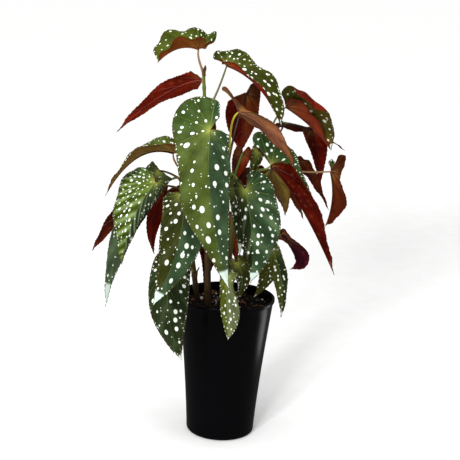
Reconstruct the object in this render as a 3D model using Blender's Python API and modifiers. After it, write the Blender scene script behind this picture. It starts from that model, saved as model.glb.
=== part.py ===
"""Potted angel-wing begonia: a tall black pot of soil with four canes and their spotted leaves.

The plant stands on the plane z = 0 with the pot's axis on Z. It is seen from -Y, with +X to the right.
Sizes in the tables are millimetres. MM turns them into Blender's metres.
"""

import math
from dataclasses import dataclass

import bmesh
import bpy
import numpy as np
from mathutils import Vector

MM = 0.001

# Pot: a tall thin-walled nursery pot
POT_HEIGHT = 188.0
POT_RIM_RADIUS = 62.5
POT_FOOT_RADIUS = 45.0
POT_WALL = 2.0
POT_LIP = 1.2
POT_FLOOR = 3.0
POT_FOOT_ROUND = 5.0
POT_FLARE = 1.3
POT_RINGS = (0.25, 0.5, 0.75)
POT_SIDES = 48
DRAIN_HOLES = 6
DRAIN_RADIUS = 4.0
DRAIN_RING = 28.0
HOLE_SIDES = 20

# Soil: fills the pot to just under the rim
SOIL_DEPTH_BELOW_RIM = 12.0
SOIL_DOME = 4.0
CANE_DEPTH_IN_SOIL = 42.0

GAP = 0.3
BLADE_THICKNESS = 0.8
STALK_FOOT_RADIUS = 1.7
STALK_TIP_RADIUS = 1.2
STALK_END_RADIUS = 0.45
STALK_TAPER = 3.0
STALK_POINTS = 6
STALK_LEANS = ((0.2, 0), (0, 0), (0.5, 0), (0, 0.3), (0, -0.3), (-0.3, 0), (0.9, 0), (0.3, 0.5), (0.3, -0.5),
               (0, 0.9), (0, -0.9), (-0.8, 0), (1.5, 0))
BRACT_LENGTH = 13.0
BRACT_RADIUS = 2.6
BRACT_TIP_RADIUS = 0.3

# Blades: quads along the rib, a half wider than BROAD_HALF has one column more, and veins slant tipward
ROWS_PER_BLADE = 12
BROAD_HALF = 21.0
VEIN_SLANT = 0.22

# Ways in which half a blade narrows: share of its width at STATIONS, which are shares of the rib
STATIONS = (0.12, 0.32, 0.52, 0.72, 0.88)
SHAPES = {
    "wing": (1.00, 0.90, 0.70, 0.42, 0.17),
    "full": (1.00, 1.04, 0.92, 0.62, 0.27),
    "waist": (0.80, 0.72, 0.70, 0.40, 0.16),
    "slim": (0.95, 0.72, 0.48, 0.26, 0.11),
    "blunt": (1.00, 1.00, 1.00, 0.92, 0.60),
    "bulge": (0.50, 0.80, 1.00, 0.80, 0.36),
    "notch": (1.00, 0.80, 0.88, 0.66, 0.26),
}

SOIL_TOP = POT_HEIGHT - SOIL_DEPTH_BELOW_RIM


@dataclass(frozen=True)
class Cane:
    """One upright stem: the points that it passes through above the soil, and its radius at foot and top."""

    name: str
    path: tuple
    foot_radius: float
    top_radius: float


@dataclass(frozen=True)
class Leaf:
    """One leaf, by where its stalk leaves the cane and where its blade hangs.

    The rib runs from joint through middle to tip, and face is the way the green side looks. Each pair
    gives the left and right half, seen from the green side with the tip down: width from rib to margin,
    lobe past the joint, fold up from the rib in degrees, and the further curl in degrees that the half
    has gained at its margin. A negative lobe is a tapered foot instead, overlap carries a lobe across the
    other half's, splay turns it outward, and hook bends its end back in the blade's plane, in degrees. wave
    is the height of the margin's waves, and waves how many there are.
    """

    name: str
    cane: str
    cane_height: float
    joint: tuple
    middle: tuple
    tip: tuple
    face: tuple
    width: tuple
    lobe: tuple = (10.0, 8.0)
    fold: tuple = (-10.0, -10.0)
    curl: tuple = (-15.0, -15.0)
    wave: float = 1.6
    waves: float = 5.0
    lobe_bend: float = -20.0
    overlap: tuple = (0.0, 0.0)
    splay: tuple = (0.0, 0.0)
    hook: tuple = (0.0, 0.0)
    shape: tuple = ("wing", "wing")
    stalk_rise: float = 0.35


CANES = (
    Cane("cane_tall", ((-24, -14, 176), (-27, -12, 240), (-33, -6, 330), (-39, 0, 420), (-44, 3, 482)), 4.6, 1.9),
    Cane("cane_east", ((-4, -16, 176), (1, -16, 240), (3, -18, 310), (-4, -24, 355), (-9, -30, 386)), 4.2, 2.0),
    Cane("cane_back", ((16, 10, 176), (22, 12, 240), (27, 12, 310), (30, 12, 366)), 4.0, 2.0),
    Cane("cane_left", ((-38, 2, 176), (-46, -4, 230), (-56, -10, 290), (-62, -14, 350)), 4.0, 1.9),
)

LEAVES = (
    # Top of the plant
    Leaf("leaf_crown", "cane_tall", 478, (-51, 0, 509), (-77, -6, 509), (-102, -12, 490), (0, -0.1, 1),
         (26, 15), (19, 8), (42, 62), (10, 0), wave=3.2, splay=(0.7, 0.5), shape=("blunt", "full"), lobe_bend=0),
    Leaf("leaf_west_red", "cane_tall", 462, (-45, 4, 470), (-94, 8, 448), (-152, 0, 397), (-0.3, 0.85, 0.45),
         (17, 14), (-18, -16), (8, 8), (0, 12), shape=("wing", "full")),
    Leaf("leaf_north_east", "cane_tall", 430, (-15, -12, 492), (27, -30, 468), (58, -38, 420), (0.3, -0.5, 0.8),
         (10, 31), (6, 27), (55, 22), (10, -20), wave=2.4, shape=("wing", "notch"), stalk_rise=0.1),
    Leaf("leaf_tan", "cane_east", 380, (3, -48, 440), (39, -62, 422), (76, -66, 378), (0.3, 0.8, 0.5),
         (14, 13), (10, 3), (3, 10), (0, 5), splay=(2.85, 0), hook=(20, 0), shape=("bulge", "full"),
         lobe_bend=0),
    Leaf("leaf_dark_north", "cane_east", 372, (12, 28, 453), (9, 34, 415), (9, 24, 375), (0.1, 0.95, 0.2),
         (20, 23), (20, -14), shape=("full", "full")),
    Leaf("leaf_arch", "cane_back", 362, (63, 6, 441), (97, 12, 416), (124, 2, 388), (0.4, -0.3, 0.8),
         (20, 63), (6, 20), (75, 62), (0, 144), shape=("wing", "wing")),
    Leaf("leaf_dark_east", "cane_back", 358, (64, 62, 412), (106, 72, 400), (147, 66, 377), (0.2, 0.35, 0.9),
         (16, 18), (8, 8)),
    Leaf("leaf_curtain_east", "cane_back", 360, (99, 42, 409), (110, 46, 377), (115, 38, 332), (0.1, 0.95, 0.15),
         (18, 13), (10, 6), stalk_rise=1.0),
    Leaf("leaf_far_east", "cane_back", 356, (127, 18, 358), (132, 24, 319), (124, 18, 283), (1, 0.2, 0),
         (18, 16), (22, 14), (80, 40), (0, 0), wave=1.4, splay=(0.55, 0.0), shape=("bulge", "bulge"),
         stalk_rise=0.02),
    Leaf("leaf_broad_east", "cane_back", 345, (47, -32, 372), (88, -44, 323), (137, -30, 232), (0.5, -0.4, 0.7),
         (25, 36), (-24, 48), (80, 32), (0, 0), overlap=(0.0, 0.05), shape=("full", "slim"), lobe_bend=0),
    Leaf("leaf_behind_east", "cane_back", 335, (84, 28, 368), (104, 32, 345), (128, 26, 304), (0.5, 0.8, 0.3),
         (18, 12), shape=("wing", "slim")),
    Leaf("leaf_olive", "cane_back", 300, (48, -4, 359), (63, -8, 336), (70, -10, 302), (0.3, 0.9, 0.2),
         (15, 15), (4, 6), shape=("full", "wing")),
    Leaf("leaf_under_east", "cane_back", 285, (69, 4, 341), (83, 2, 322), (94, 0, 296), (0.3, 0.9, 0.2),
         (8, 8)),
    # Front
    Leaf("leaf_front", "cane_tall", 380, (-30, -95, 424), (-24, -122, 338), (3, -105, 228), (-0.15, -0.9, 0.35),
         (54, 30), (50, 4), (-6, -38), overlap=(0.4, 0.0), shape=("waist", "full")),
    Leaf("leaf_right_front", "cane_east", 352, (16, -66, 347), (28, -88, 291), (29, -84, 231), (0.15, -0.9, 0.4),
         (20, 40), (20, 26), (-30, -8), (-50, -15), shape=("wing", "full")),
    Leaf("leaf_mid_shadow", "cane_east", 320, (7, -38, 339), (12, -48, 300), (14, -48, 256), (0, -0.95, 0.2),
         (12, 13)),
    Leaf("leaf_rust_mid", "cane_east", 260, (2, 4, 296), (7, 2, 263), (10, 2, 231), (0, 0.95, 0.1),
         (11, 11)),
    Leaf("leaf_rim", "cane_east", 195, (-1, -76, 237), (2, -84, 193), (5, -80, 153), (-0.1, -0.95, 0.2),
         (10, 16), (6, 6), (-15, -5), shape=("full", "bulge")),
    Leaf("leaf_inner_rim", "cane_east", 215, (11, -46, 247), (19, -56, 224), (10, -60, 199), (0.2, -0.95, 0.2),
         (10, 14)),
    # Left
    Leaf("leaf_lower_left", "cane_left", 215, (-71, -60, 247), (-72, -84, 189), (-52, -78, 122), (-0.1, -0.95, 0.3),
         (26, 27), (14, 10), shape=("full", "full")),
    Leaf("leaf_left_front", "cane_left", 290, (-61, -82, 340), (-62, -104, 280), (-92, -100, 198),
         (-0.1, -0.95, 0.3), (29, 29), (8, 6), (-12, -12), shape=("full", "full")),
    Leaf("leaf_left_bright", "cane_left", 320, (-96, -56, 348), (-121, -74, 302), (-133, -72, 243),
         (-0.4, -0.75, 0.5), (51, 14), (13, 10), (-5, -35), (-15, -50), wave=2.4),
    Leaf("leaf_left_dark", "cane_left", 335, (-94, -16, 354), (-136, -24, 273), (-155, -40, 176),
         (-0.3, -0.9, 0.3), (20, 20), (2, 2), shape=("full", "wing")),
    Leaf("leaf_left_back", "cane_left", 346, (-76, -26, 380), (-121, -34, 373), (-159, -42, 323), (-0.2, -0.1, 1),
         (26, 12), (10, 4), (30, 60), (0, 0), shape=("slim", "full")),
    Leaf("leaf_left_far", "cane_left", 344, (-133, 26, 307), (-161, 32, 266), (-182, 26, 231), (-0.3, 0.9, 0.2),
         (12, 12), stalk_rise=0.15),
    Leaf("leaf_maroon_left", "cane_left", 300, (-84, 4, 323), (-100, 0, 281), (-97, -2, 239), (0, 0.95, 0.1),
         (13, 13)),
    # Right, low
    Leaf("leaf_purple", "cane_back", 240, (66, -8, 277), (94, -8, 249), (80, -10, 231), (0, 1, 0.1),
         (11, 9), (4, 4), shape=("bulge", "bulge")),
    Leaf("leaf_low_tail", "cane_back", 252, (54, -44, 268), (68, -58, 229), (71, -56, 179), (0.3, -0.9, 0.2),
         (14, 11), shape=("wing", "full"), stalk_rise=0.5),
    Leaf("leaf_low_right", "cane_back", 210, (53, -16, 252), (50, -24, 223), (34, -26, 194), (0.2, -0.9, 0.3),
         (14, 16)),
    Leaf("leaf_red_mid", "cane_back", 230, (26, 26, 257), (27, 24, 231), (26, 24, 209), (0, 0.95, 0.1),
         (8, 8), (4, 4)),
    Leaf("leaf_olive_mid", "cane_back", 350, (31, 0, 382), (27, -4, 367), (19, -10, 350), (0.2, -0.9, 0.3),
         (9, 9)),
    Leaf("leaf_core_dark", "cane_east", 340, (11, 0, 379), (6, -8, 361), (1, -14, 341), (0.1, 0.95, 0.1),
         (12, 12)),
    Leaf("leaf_core_low", "cane_back", 245, (-29, 32, 250), (-27, 36, 224), (-32, 32, 189), (0, 0.95, 0.1),
         (13, 13)),
    # Back
    Leaf("leaf_back_upper", "cane_tall", 390, (-48, 45, 412), (-46, 70, 350), (-40, 62, 262), (0, 0.9, 0.35),
         (24, 26), (14, 10)),
    Leaf("leaf_back_right", "cane_back", 310, (25, 44, 350), (30, 66, 300), (28, 58, 240), (0, 0.9, 0.35),
         (20, 24), (12, 10)),
    Leaf("leaf_back_left", "cane_left", 280, (-60, 30, 320), (-66, 54, 270), (-62, 50, 205), (0, 0.9, 0.35),
         (22, 22), (10, 12)),
)


def outline(leaf, side, length):
    """Margin of half a blade as (along, across) fractions of its length and width, from sinus to tip."""
    back = leaf.lobe[side] / length
    lap = leaf.overlap[side]
    spread = leaf.splay[side] * length / leaf.width[side]
    if back >= 0:
        foot = (
            (-0.35 * back, 0.10 - 0.70 * lap),
            (-0.80 * back, 0.22 - 0.80 * lap),
            (-1.00 * back, 0.45 - 0.30 * lap),
            (-0.80 * back, 0.78),
            (-0.30 * back, 0.96),
        )
    else:
        foot = ((-0.08 * back, 0.10), (-0.22 * back, 0.28), (-0.42 * back, 0.48), (-0.66 * back, 0.70),
                (-0.90 * back, 0.90))
    foot = [(along, across + spread * max(0, -along)) for along, across in foot]
    first = max(STATIONS[0], -1.2 * back)
    sides = [(first + (at - STATIONS[0]) * (1 - first) / (1 - STATIONS[0]), across)
             for at, across in zip(STATIONS, SHAPES[leaf.shape[side]])]
    return np.array((*foot, *sides, (0.96, 0.05), (1.00, 0.00)))


def unit(vector):
    """Vectors, in the last axis, brought to length 1."""
    return vector / np.linalg.norm(vector, axis=-1, keepdims=True)


def rib(leaf, share):
    """Points, tangents and green-side normals on the rib, at shares of its run from joint to tip."""
    joint, middle, tip = (np.array(p, float) for p in (leaf.joint, leaf.middle, leaf.tip))
    control = 2 * middle - (joint + tip) / 2
    t = np.clip(share, 0, 1)[..., None]
    point = (1 - t) ** 2 * joint + 2 * t * (1 - t) * control + t**2 * tip
    tangent = unit(2 * (1 - t) * (control - joint) + 2 * t * (tip - control))
    face = np.array(leaf.face, float)
    normal = unit(face - np.sum(face * tangent, -1, keepdims=True) * tangent)
    return point, tangent, normal


def rib_length(leaf):
    """Length of the rib, joint to tip, in millimetres."""
    points = rib(leaf, np.linspace(0, 1, 33))[0]
    return float(np.linalg.norm(np.diff(points, axis=0), axis=1).sum())


def blade_points(leaf, side, rows, columns):
    """Points of one half of the blade: side 0 is the left half, side 1 the right, rows run along the margin."""
    length = rib_length(leaf)
    width = leaf.width[side]
    margin = outline(leaf, side, length)
    station = np.linspace(0, len(margin) - 1, rows)
    index = np.minimum(station.astype(int), len(margin) - 2)
    part = (station - index)[:, None]
    edge = margin[index] * (1 - part) + margin[index + 1] * part
    rib_at = np.maximum(0, edge[:, 0] - VEIN_SLANT * edge[:, 1])
    q = np.linspace(0, 1, columns + 1)
    along = rib_at[:, None] + (edge[:, 0] - rib_at)[:, None] * q
    across = edge[:, 1][:, None] * q
    point, tangent, normal = rib(leaf, along)
    outward = np.cross(normal, tangent) * (1 if side else -1)
    # Across the half, the surface turns by the fold at once and by the curl on the way to the margin.
    fold = math.radians(leaf.fold[side])
    curl = math.radians(leaf.curl[side]) or 1e-6
    level = width / curl * (np.sin(fold + curl * across) - math.sin(fold))
    height = -width / curl * (np.cos(fold + curl * across) - math.cos(fold))
    # The lobes lie past the joint, on an arc that bends away from the green side or towards it.
    past = np.maximum(0, -along) * length
    share = past / max(leaf.lobe[side], 1.0)
    turn = math.radians(leaf.hook[side]) * share**2
    past, level = past * np.cos(turn) + level * np.sin(turn), level * np.cos(turn) - past * np.sin(turn)
    bend = math.radians(leaf.lobe_bend) * share
    point = point - tangent * (past * np.cos(bend / 2))[..., None] + normal * (past * np.sin(bend / 2))[..., None]
    ripple = np.sin(2 * math.pi * leaf.waves * np.linspace(0, 1, rows) + side * 1.3)
    height = height + leaf.wave * ripple[:, None] * q**2 * np.minimum(1, 4 * (1 - rib_at))[:, None]
    return point + outward * level[..., None] + normal * height[..., None]


def curve_mesh(name, points, radii, bevel_resolution):
    """A tube through the points, as a closed mesh object."""
    curve = bpy.data.curves.new(name, "CURVE")
    curve.dimensions = "3D"
    curve.bevel_depth = MM
    curve.bevel_resolution = bevel_resolution
    curve.use_fill_caps = True
    spline = curve.splines.new("POLY")
    spline.points.add(len(points) - 1)
    for knot, place, radius in zip(spline.points, points, radii):
        knot.co = (*(Vector(place) * MM), 1)
        knot.radius = radius
    tube = bpy.data.objects.new(name + "_line", curve)
    bpy.context.scene.collection.objects.link(tube)
    bpy.context.view_layer.update()
    mesh = bpy.data.meshes.new_from_object(tube.evaluated_get(bpy.context.evaluated_depsgraph_get()))
    bpy.data.objects.remove(tube)
    work = bmesh.new()
    work.from_mesh(mesh)
    bmesh.ops.remove_doubles(work, verts=work.verts, dist=1e-6)
    bmesh.ops.recalc_face_normals(work, faces=work.faces)
    work.to_mesh(mesh)
    work.free()
    return bpy.data.objects.new(name, mesh)


def smooth_path(points, count):
    """Catmull-Rom curve through the points, as count points evenly spread over its spans."""
    p = np.array(points, float)
    p = np.vstack([2 * p[0] - p[1], p, 2 * p[-1] - p[-2]])
    station = np.linspace(0, len(points) - 1, count)
    i = np.minimum(station.astype(int), len(points) - 2)
    t = (station - i)[:, None]
    a, b, c, d = p[i], p[i + 1], p[i + 2], p[i + 3]
    return 0.5 * (2 * b + (c - a) * t + (2 * a - 5 * b + 4 * c - d) * t**2 + (3 * b - a - 3 * c + d) * t**3)


def cane_point(cane, height):
    """Point on the cane's centre line at a height, and the cane's radius there."""
    line = smooth_path(cane.path, 60)
    place = np.array([np.interp(height, line[:, 2], line[:, k]) for k in range(3)])
    share = (height - line[0, 2]) / (line[-1, 2] - line[0, 2])
    return place, cane.foot_radius + (cane.top_radius - cane.foot_radius) * share


def stalk_line(root, joint, end, lean, rise, t):
    """Points at t on a curve that leaves the cane upward and meets the blade from the side that lean points to."""
    reach = np.linalg.norm(end - root)
    outward = unit((end - root) * (1, 1, 0) + (0, 0, 1e-6))
    first = root + reach * (rise * np.array((0, 0, 1)) + 0.15 * outward)
    second = end - 0.3 * reach * lean
    t = t[:, None]
    return (1 - t) ** 3 * root + 3 * t * (1 - t) ** 2 * first + 3 * t**2 * (1 - t) * second + t**3 * end


def stalk_path(leaf, cane):
    """Centre line and radii of a leaf's stalk, from inside the cane to just under the blade's joint.

    The stalk comes in square to the blade if it can, and leans until its whole length clears the lobes.
    """
    root = cane_point(cane, leaf.cane_height)[0]
    joint, tangent, normal = (v[0] for v in rib(leaf, np.zeros(1)))
    across = np.cross(normal, tangent)
    blade = np.vstack([blade_points(leaf, side, 34, 8).reshape(-1, 3) for side in (0, 1)])
    near_end = 1 - STALK_TAPER / np.linalg.norm(joint - root)
    knots = np.append(np.linspace(0, 0.86, STALK_POINTS), (near_end, 1))
    trial = np.append(np.linspace(0.3, near_end, 30), 1)
    radii = np.interp(trial, (0, near_end, 1), (STALK_FOOT_RADIUS, STALK_TIP_RADIUS, STALK_END_RADIUS))
    best = (-math.inf, None)
    for along, aside in STALK_LEANS:
        lean = unit(normal + along * tangent + aside * across)
        for clear in np.arange(0.9, 2.6, 0.1):
            end = joint - normal * clear
            line = stalk_line(root, joint, end, lean, leaf.stalk_rise, trial)
            apart = np.linalg.norm(line[:, None] - blade[None], axis=2).min(axis=1)
            room = (apart - radii - BLADE_THICKNESS / 2).min()
            if room > best[0]:
                best = (room, (end, lean))
            if room > 1.1 * GAP:
                break
        if best[0] > 1.1 * GAP:
            break
    points = stalk_line(root, joint, *best[1], leaf.stalk_rise, knots)
    return points, np.interp(knots, (0, near_end, 1), (STALK_FOOT_RADIUS, STALK_TIP_RADIUS, STALK_END_RADIUS))


def material(name, colour, roughness):
    """A plain Principled material."""
    made = bpy.data.materials.new(name)
    made.use_nodes = True
    shader = made.node_tree.nodes["Principled BSDF"]
    shader.inputs["Base Color"].default_value = (*colour, 1)
    shader.inputs["Roughness"].default_value = roughness
    made.diffuse_color = (*colour, 1)
    return made


def turned(name, profile, collection):
    """A body turned from a profile of (radius, height) that ends on the axis at both ends."""
    work = bmesh.new()
    knots = [work.verts.new((r * MM, 0, z * MM)) for r, z in profile]
    for a, b in zip(knots, knots[1:]):
        work.edges.new((a, b))
    mesh = bpy.data.meshes.new(name)
    work.to_mesh(mesh)
    work.free()
    body = bpy.data.objects.new(name, mesh)
    collection.objects.link(body)
    screw = body.modifiers.new("turn", "SCREW")
    screw.steps = POT_SIDES
    screw.render_steps = POT_SIDES
    screw.use_merge_vertices = True
    screw.merge_threshold = 0.00001
    screw.use_smooth_shade = True
    return body


def cutters_for(name, places, radii, low, high):
    """A hidden collection of upright cylinders at the (x, y) places, one radius for each."""
    cutters = bpy.data.collections.new(name)
    bpy.context.scene.collection.children.link(cutters)
    cutters.hide_render = True
    for k, ((x, y), radius) in enumerate(zip(places, radii)):
        mesh = bpy.data.meshes.new(f"{name}_{k}")
        work = bmesh.new()
        bmesh.ops.create_cone(work, cap_ends=True, segments=HOLE_SIDES, radius1=radius * MM,
                              radius2=radius * MM, depth=(high - low) * MM)
        work.to_mesh(mesh)
        work.free()
        cutter = bpy.data.objects.new(f"{name}_{k}", mesh)
        cutter.location = (x * MM, y * MM, (low + high) / 2 * MM)
        cutter.hide_render = True
        cutter.display_type = "WIRE"
        cutters.objects.link(cutter)
    return cutters


def cut(body, cutters):
    """Cuts a collection of solids out of a body."""
    boolean = body.modifiers.new("cut", "BOOLEAN")
    boolean.operation = "DIFFERENCE"
    boolean.solver = "EXACT"
    boolean.operand_type = "COLLECTION"
    boolean.collection = cutters


def wall_radius(height):
    """Outer radius of the pot at a height: the wall flares more towards the rim."""
    return POT_FOOT_RADIUS + (POT_RIM_RADIUS - POT_FOOT_RADIUS) * (height / POT_HEIGHT) ** POT_FLARE


def make_pot(collection):
    """The pot: tapered thin wall, rounded foot, small rolled lip, and drain holes through its floor."""
    inner = POT_RIM_RADIUS - POT_WALL
    foot = [
        (wall_radius(0) - POT_FOOT_ROUND * (1 - math.sin(a)), POT_FOOT_ROUND * (1 - math.cos(a)))
        for a in np.linspace(math.pi / 2, 0, 5)
    ]
    profile = [
        (0, POT_FLOOR),
        (wall_radius(POT_FLOOR) - POT_WALL - 1, POT_FLOOR),
        (wall_radius(POT_FLOOR + 2) - POT_WALL, POT_FLOOR + 2),
        *((wall_radius(POT_HEIGHT * k) - POT_WALL, POT_HEIGHT * k) for k in POT_RINGS),
        (inner, POT_HEIGHT - 0.8),
        (inner + 0.8, POT_HEIGHT),
        (POT_RIM_RADIUS + POT_LIP - 0.8, POT_HEIGHT),
        (POT_RIM_RADIUS + POT_LIP, POT_HEIGHT - 0.8),
        (POT_RIM_RADIUS + POT_LIP, POT_HEIGHT - 4),
        (wall_radius(POT_HEIGHT - 5.5), POT_HEIGHT - 5.5),
        *((wall_radius(POT_HEIGHT * k), POT_HEIGHT * k) for k in POT_RINGS[::-1]),
        *foot,
        (0, 0),
    ]
    pot = turned("pot", profile, collection)
    ring = [
        (DRAIN_RING * math.cos(a), DRAIN_RING * math.sin(a))
        for a in np.arange(DRAIN_HOLES) * 2 * math.pi / DRAIN_HOLES
    ]
    cut(pot, cutters_for("drain_cutters", ring, [DRAIN_RADIUS] * DRAIN_HOLES, -2, POT_FLOOR + 2))
    pot.data.materials.append(material("black_plastic", (0.012, 0.012, 0.013), 0.28))
    return pot


def make_soil(collection):
    """The soil: fills the pot, domed on top, with a plain hole for each cane."""
    low = POT_FLOOR + GAP
    top_radius = wall_radius(SOIL_TOP) - POT_WALL - GAP
    profile = [
        (0, SOIL_TOP + SOIL_DOME),
        (top_radius * 0.35, SOIL_TOP + SOIL_DOME * 0.85),
        (top_radius * 0.7, SOIL_TOP + SOIL_DOME * 0.4),
        (top_radius, SOIL_TOP - 1),
        *((wall_radius(POT_HEIGHT * k) - POT_WALL - GAP, POT_HEIGHT * k) for k in POT_RINGS[::-1]),
        (wall_radius(low + 2) - POT_WALL - GAP, low + 2),
        (wall_radius(low) - POT_WALL - 1 - GAP, low),
        (0, low),
    ]
    soil = turned("soil", profile, collection)
    feet = [cane.path[0][:2] for cane in CANES]
    radii = [cane.foot_radius + GAP for cane in CANES]
    cut(soil, cutters_for("cane_holes", feet, radii, SOIL_TOP - CANE_DEPTH_IN_SOIL, SOIL_TOP + 20))
    soil.data.materials.append(material("potting_mix", (0.045, 0.028, 0.018), 0.95))
    return soil


def make_bract(cane, height, turn, name):
    """A papery bract at a joint of the cane: a slim flat cone, sunk in the cane at its foot."""
    place, radius = cane_point(cane, height)
    mesh = bpy.data.meshes.new(name)
    work = bmesh.new()
    bmesh.ops.create_cone(work, cap_ends=True, segments=6, radius1=BRACT_RADIUS * MM,
                          radius2=BRACT_TIP_RADIUS * MM, depth=BRACT_LENGTH * MM)
    work.to_mesh(mesh)
    work.free()
    bract = bpy.data.objects.new(name, mesh)
    bract.scale = (1, 0.5, 1)
    away = np.array((math.cos(turn), math.sin(turn), 0))
    bract.location = (place + away * (radius + 0.4) + (0, 0, BRACT_LENGTH * 0.3)) * MM
    bract.rotation_euler = (0.28, 0, turn + math.pi / 2)
    return bract


def make_cane(cane, collection, skin):
    """A cane with its leaf stalks and bracts, all in one body."""
    foot = np.array(cane.path[0], float)
    buried = [foot - (0, 0, CANE_DEPTH_IN_SOIL - GAP), foot]
    line = smooth_path([foot + (0, 0, 6), *cane.path[1:]], 16)
    points = np.vstack([buried, line])
    radii = cane.foot_radius + (cane.top_radius - cane.foot_radius) * np.clip(
        (points[:, 2] - foot[2]) / (cane.path[-1][2] - foot[2]), 0, 1)
    body = curve_mesh(cane.name, points, radii, 2)
    body.data.materials.append(skin)
    collection.objects.link(body)
    branches = bpy.data.collections.new(cane.name + "_branches")
    bpy.context.scene.collection.children.link(branches)
    for k, leaf in enumerate(x for x in LEAVES if x.cane == cane.name):
        path, radii = stalk_path(leaf, cane)
        branches.objects.link(curve_mesh(leaf.name + "_stalk", path, radii, 1))
        if k % 2 == 0:
            turn = math.atan2(leaf.joint[1] - path[0][1], leaf.joint[0] - path[0][0]) + 1.6
            branches.objects.link(make_bract(cane, leaf.cane_height, turn, leaf.name + "_bract"))
    union = body.modifiers.new("join", "BOOLEAN")
    union.operation = "UNION"
    union.solver = "EXACT"
    union.use_self = True
    union.operand_type = "COLLECTION"
    union.collection = branches
    bpy.context.view_layer.update()
    joined = bpy.data.meshes.new_from_object(body.evaluated_get(bpy.context.evaluated_depsgraph_get()))
    body.modifiers.clear()
    body.data = joined
    for branch in list(branches.objects):
        bpy.data.objects.remove(branch)
    bpy.data.collections.remove(branches)
    body.data.shade_smooth()
    return body


def make_leaf(leaf, collection, finishes):
    """One blade: a grid bent to the leaf's form, welded along its rib and thickened."""
    half = 3 if max(leaf.width) > BROAD_HALF else 2
    columns = 2 * half + 1
    work = bmesh.new()
    bmesh.ops.create_grid(work, x_segments=columns - 1, y_segments=ROWS_PER_BLADE - 1, size=1)
    halves = [blade_points(leaf, side, ROWS_PER_BLADE, half) * MM for side in (0, 1)]
    for knot in work.verts:
        column = round((knot.co.x + 1) / 2 * (columns - 1)) - half
        row = ROWS_PER_BLADE - 1 - round((knot.co.y + 1) / 2 * (ROWS_PER_BLADE - 1))
        knot.co = Vector(halves[int(column > 0)][row, abs(column)])
    bmesh.ops.remove_doubles(work, verts=work.verts, dist=0.05 * MM)
    bmesh.ops.triangulate(work, faces=work.faces)
    mesh = bpy.data.meshes.new(leaf.name)
    work.to_mesh(mesh)
    work.free()
    for finish in finishes:
        mesh.materials.append(finish)
    blade = bpy.data.objects.new(leaf.name, mesh)
    collection.objects.link(blade)
    thick = blade.modifiers.new("thickness", "SOLIDIFY")
    thick.thickness = BLADE_THICKNESS * MM
    thick.offset = 0
    thick.material_offset = 1
    thick.material_offset_rim = 1
    mesh.shade_smooth()
    return blade


def main():
    """Clears the scene and builds the pot, the soil, the canes and the leaves."""
    for old in list(bpy.data.objects):
        bpy.data.objects.remove(old)
    plant = bpy.data.collections.new("potted_begonia")
    bpy.context.scene.collection.children.link(plant)
    make_pot(plant)
    make_soil(plant)
    skin = material("cane_skin", (0.16, 0.17, 0.045), 0.5)
    for cane in CANES:
        make_cane(cane, plant, skin)
    green = material("leaf_green", (0.055, 0.11, 0.02), 0.35)
    red = material("leaf_underside", (0.21, 0.03, 0.014), 0.45)
    for leaf in LEAVES:
        make_leaf(leaf, plant, (green, red))


main()
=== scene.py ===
"""Looks of a potted angel-wing begonia: fine blades, canes, soil, a glossy pot, camera and studio light.

Sizes in the tables are millimetres, as in the part's source, and MM turns them into metres.
"""

import logging
import math
from collections.abc import Callable
from dataclasses import dataclass
from enum import Enum
from functools import partial
from itertools import combinations

import bpy
import numpy as np
from mathutils import Matrix, Vector


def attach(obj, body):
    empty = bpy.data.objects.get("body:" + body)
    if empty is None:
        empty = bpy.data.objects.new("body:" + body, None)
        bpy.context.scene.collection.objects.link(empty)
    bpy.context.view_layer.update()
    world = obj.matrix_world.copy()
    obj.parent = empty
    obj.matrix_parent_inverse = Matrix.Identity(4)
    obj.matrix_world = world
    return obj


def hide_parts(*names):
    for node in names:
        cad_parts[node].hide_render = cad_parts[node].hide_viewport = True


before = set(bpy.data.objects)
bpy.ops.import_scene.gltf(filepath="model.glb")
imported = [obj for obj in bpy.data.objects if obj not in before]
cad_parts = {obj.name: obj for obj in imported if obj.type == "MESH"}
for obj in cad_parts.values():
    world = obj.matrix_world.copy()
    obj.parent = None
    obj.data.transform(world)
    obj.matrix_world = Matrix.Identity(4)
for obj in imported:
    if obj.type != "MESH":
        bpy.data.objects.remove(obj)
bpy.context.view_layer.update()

LOG = logging.getLogger("begonia")
MM = 0.001

# Form of the blades, as in the part's source
STATIONS = (0.12, 0.32, 0.52, 0.72, 0.88)
VEIN_SLANT = 0.22
BLADE_THICKNESS = 0.8
GAP = 0.3

# Stalks, as in the part's source
STALK_FOOT_RADIUS = 1.7
STALK_TIP_RADIUS = 1.2
STALK_END_RADIUS = 0.45
STALK_TAPER = 3.0
STALK_LEANS = ((0.2, 0), (0, 0), (0.5, 0), (0, 0.3), (0, -0.3), (-0.3, 0), (0.9, 0), (0.3, 0.5), (0.3, -0.5),
               (0, 0.9), (0, -0.9), (-0.8, 0), (1.5, 0))

# Fine detail of the blades, whose veins lean more than the source's rows
FINE_SLANT = 0.42
SHEET_THICKNESS = 0.5
ROW_STEP = 1.9
COLUMN_STEP = 2.8
TOOTH = 0.9
TOOTH_STEP = 5.0
FRILL = 0.35
RIB_RADIUS = 1.1
RIB_TIP_RADIUS = 0.25
VEIN_RADIUS = 0.62
VEIN_TIP_RADIUS = 0.1
VEIN_SUNK = 0.15
# Least strength of the painted shade in the furrows over the side veins
PAINTED_FURROW_SHADE = 0.2
# Painted shade on the lobes near the joint, as shares of red, green and blue
LOBE_SHADE = (0.5, 0.66, 0.6)
ROW_LIMITS = (36, 140)
COLUMN_LIMITS = (6, 18)
UPPER_KNOT = "#B9C25A"
UNDER_KNOT = "#B07848"

# Radius of a leaf's largest spots, and the way from spot to spot, as shares of its spot value
SPOT_RADIUS = 0.87
SPOT_STEP = 4.6

# Marks that the points of a blade carry to its skin, up to three in an attribute
LEAF_MARKS = {"cells": ("vein", "sector"), "place": ("across", "along", "gap"),
              "trim": ("largest", "run", "pale"), "style": ("quilt", "step", "share"),
              "grain": ("seed", "sink", "long")}

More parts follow.
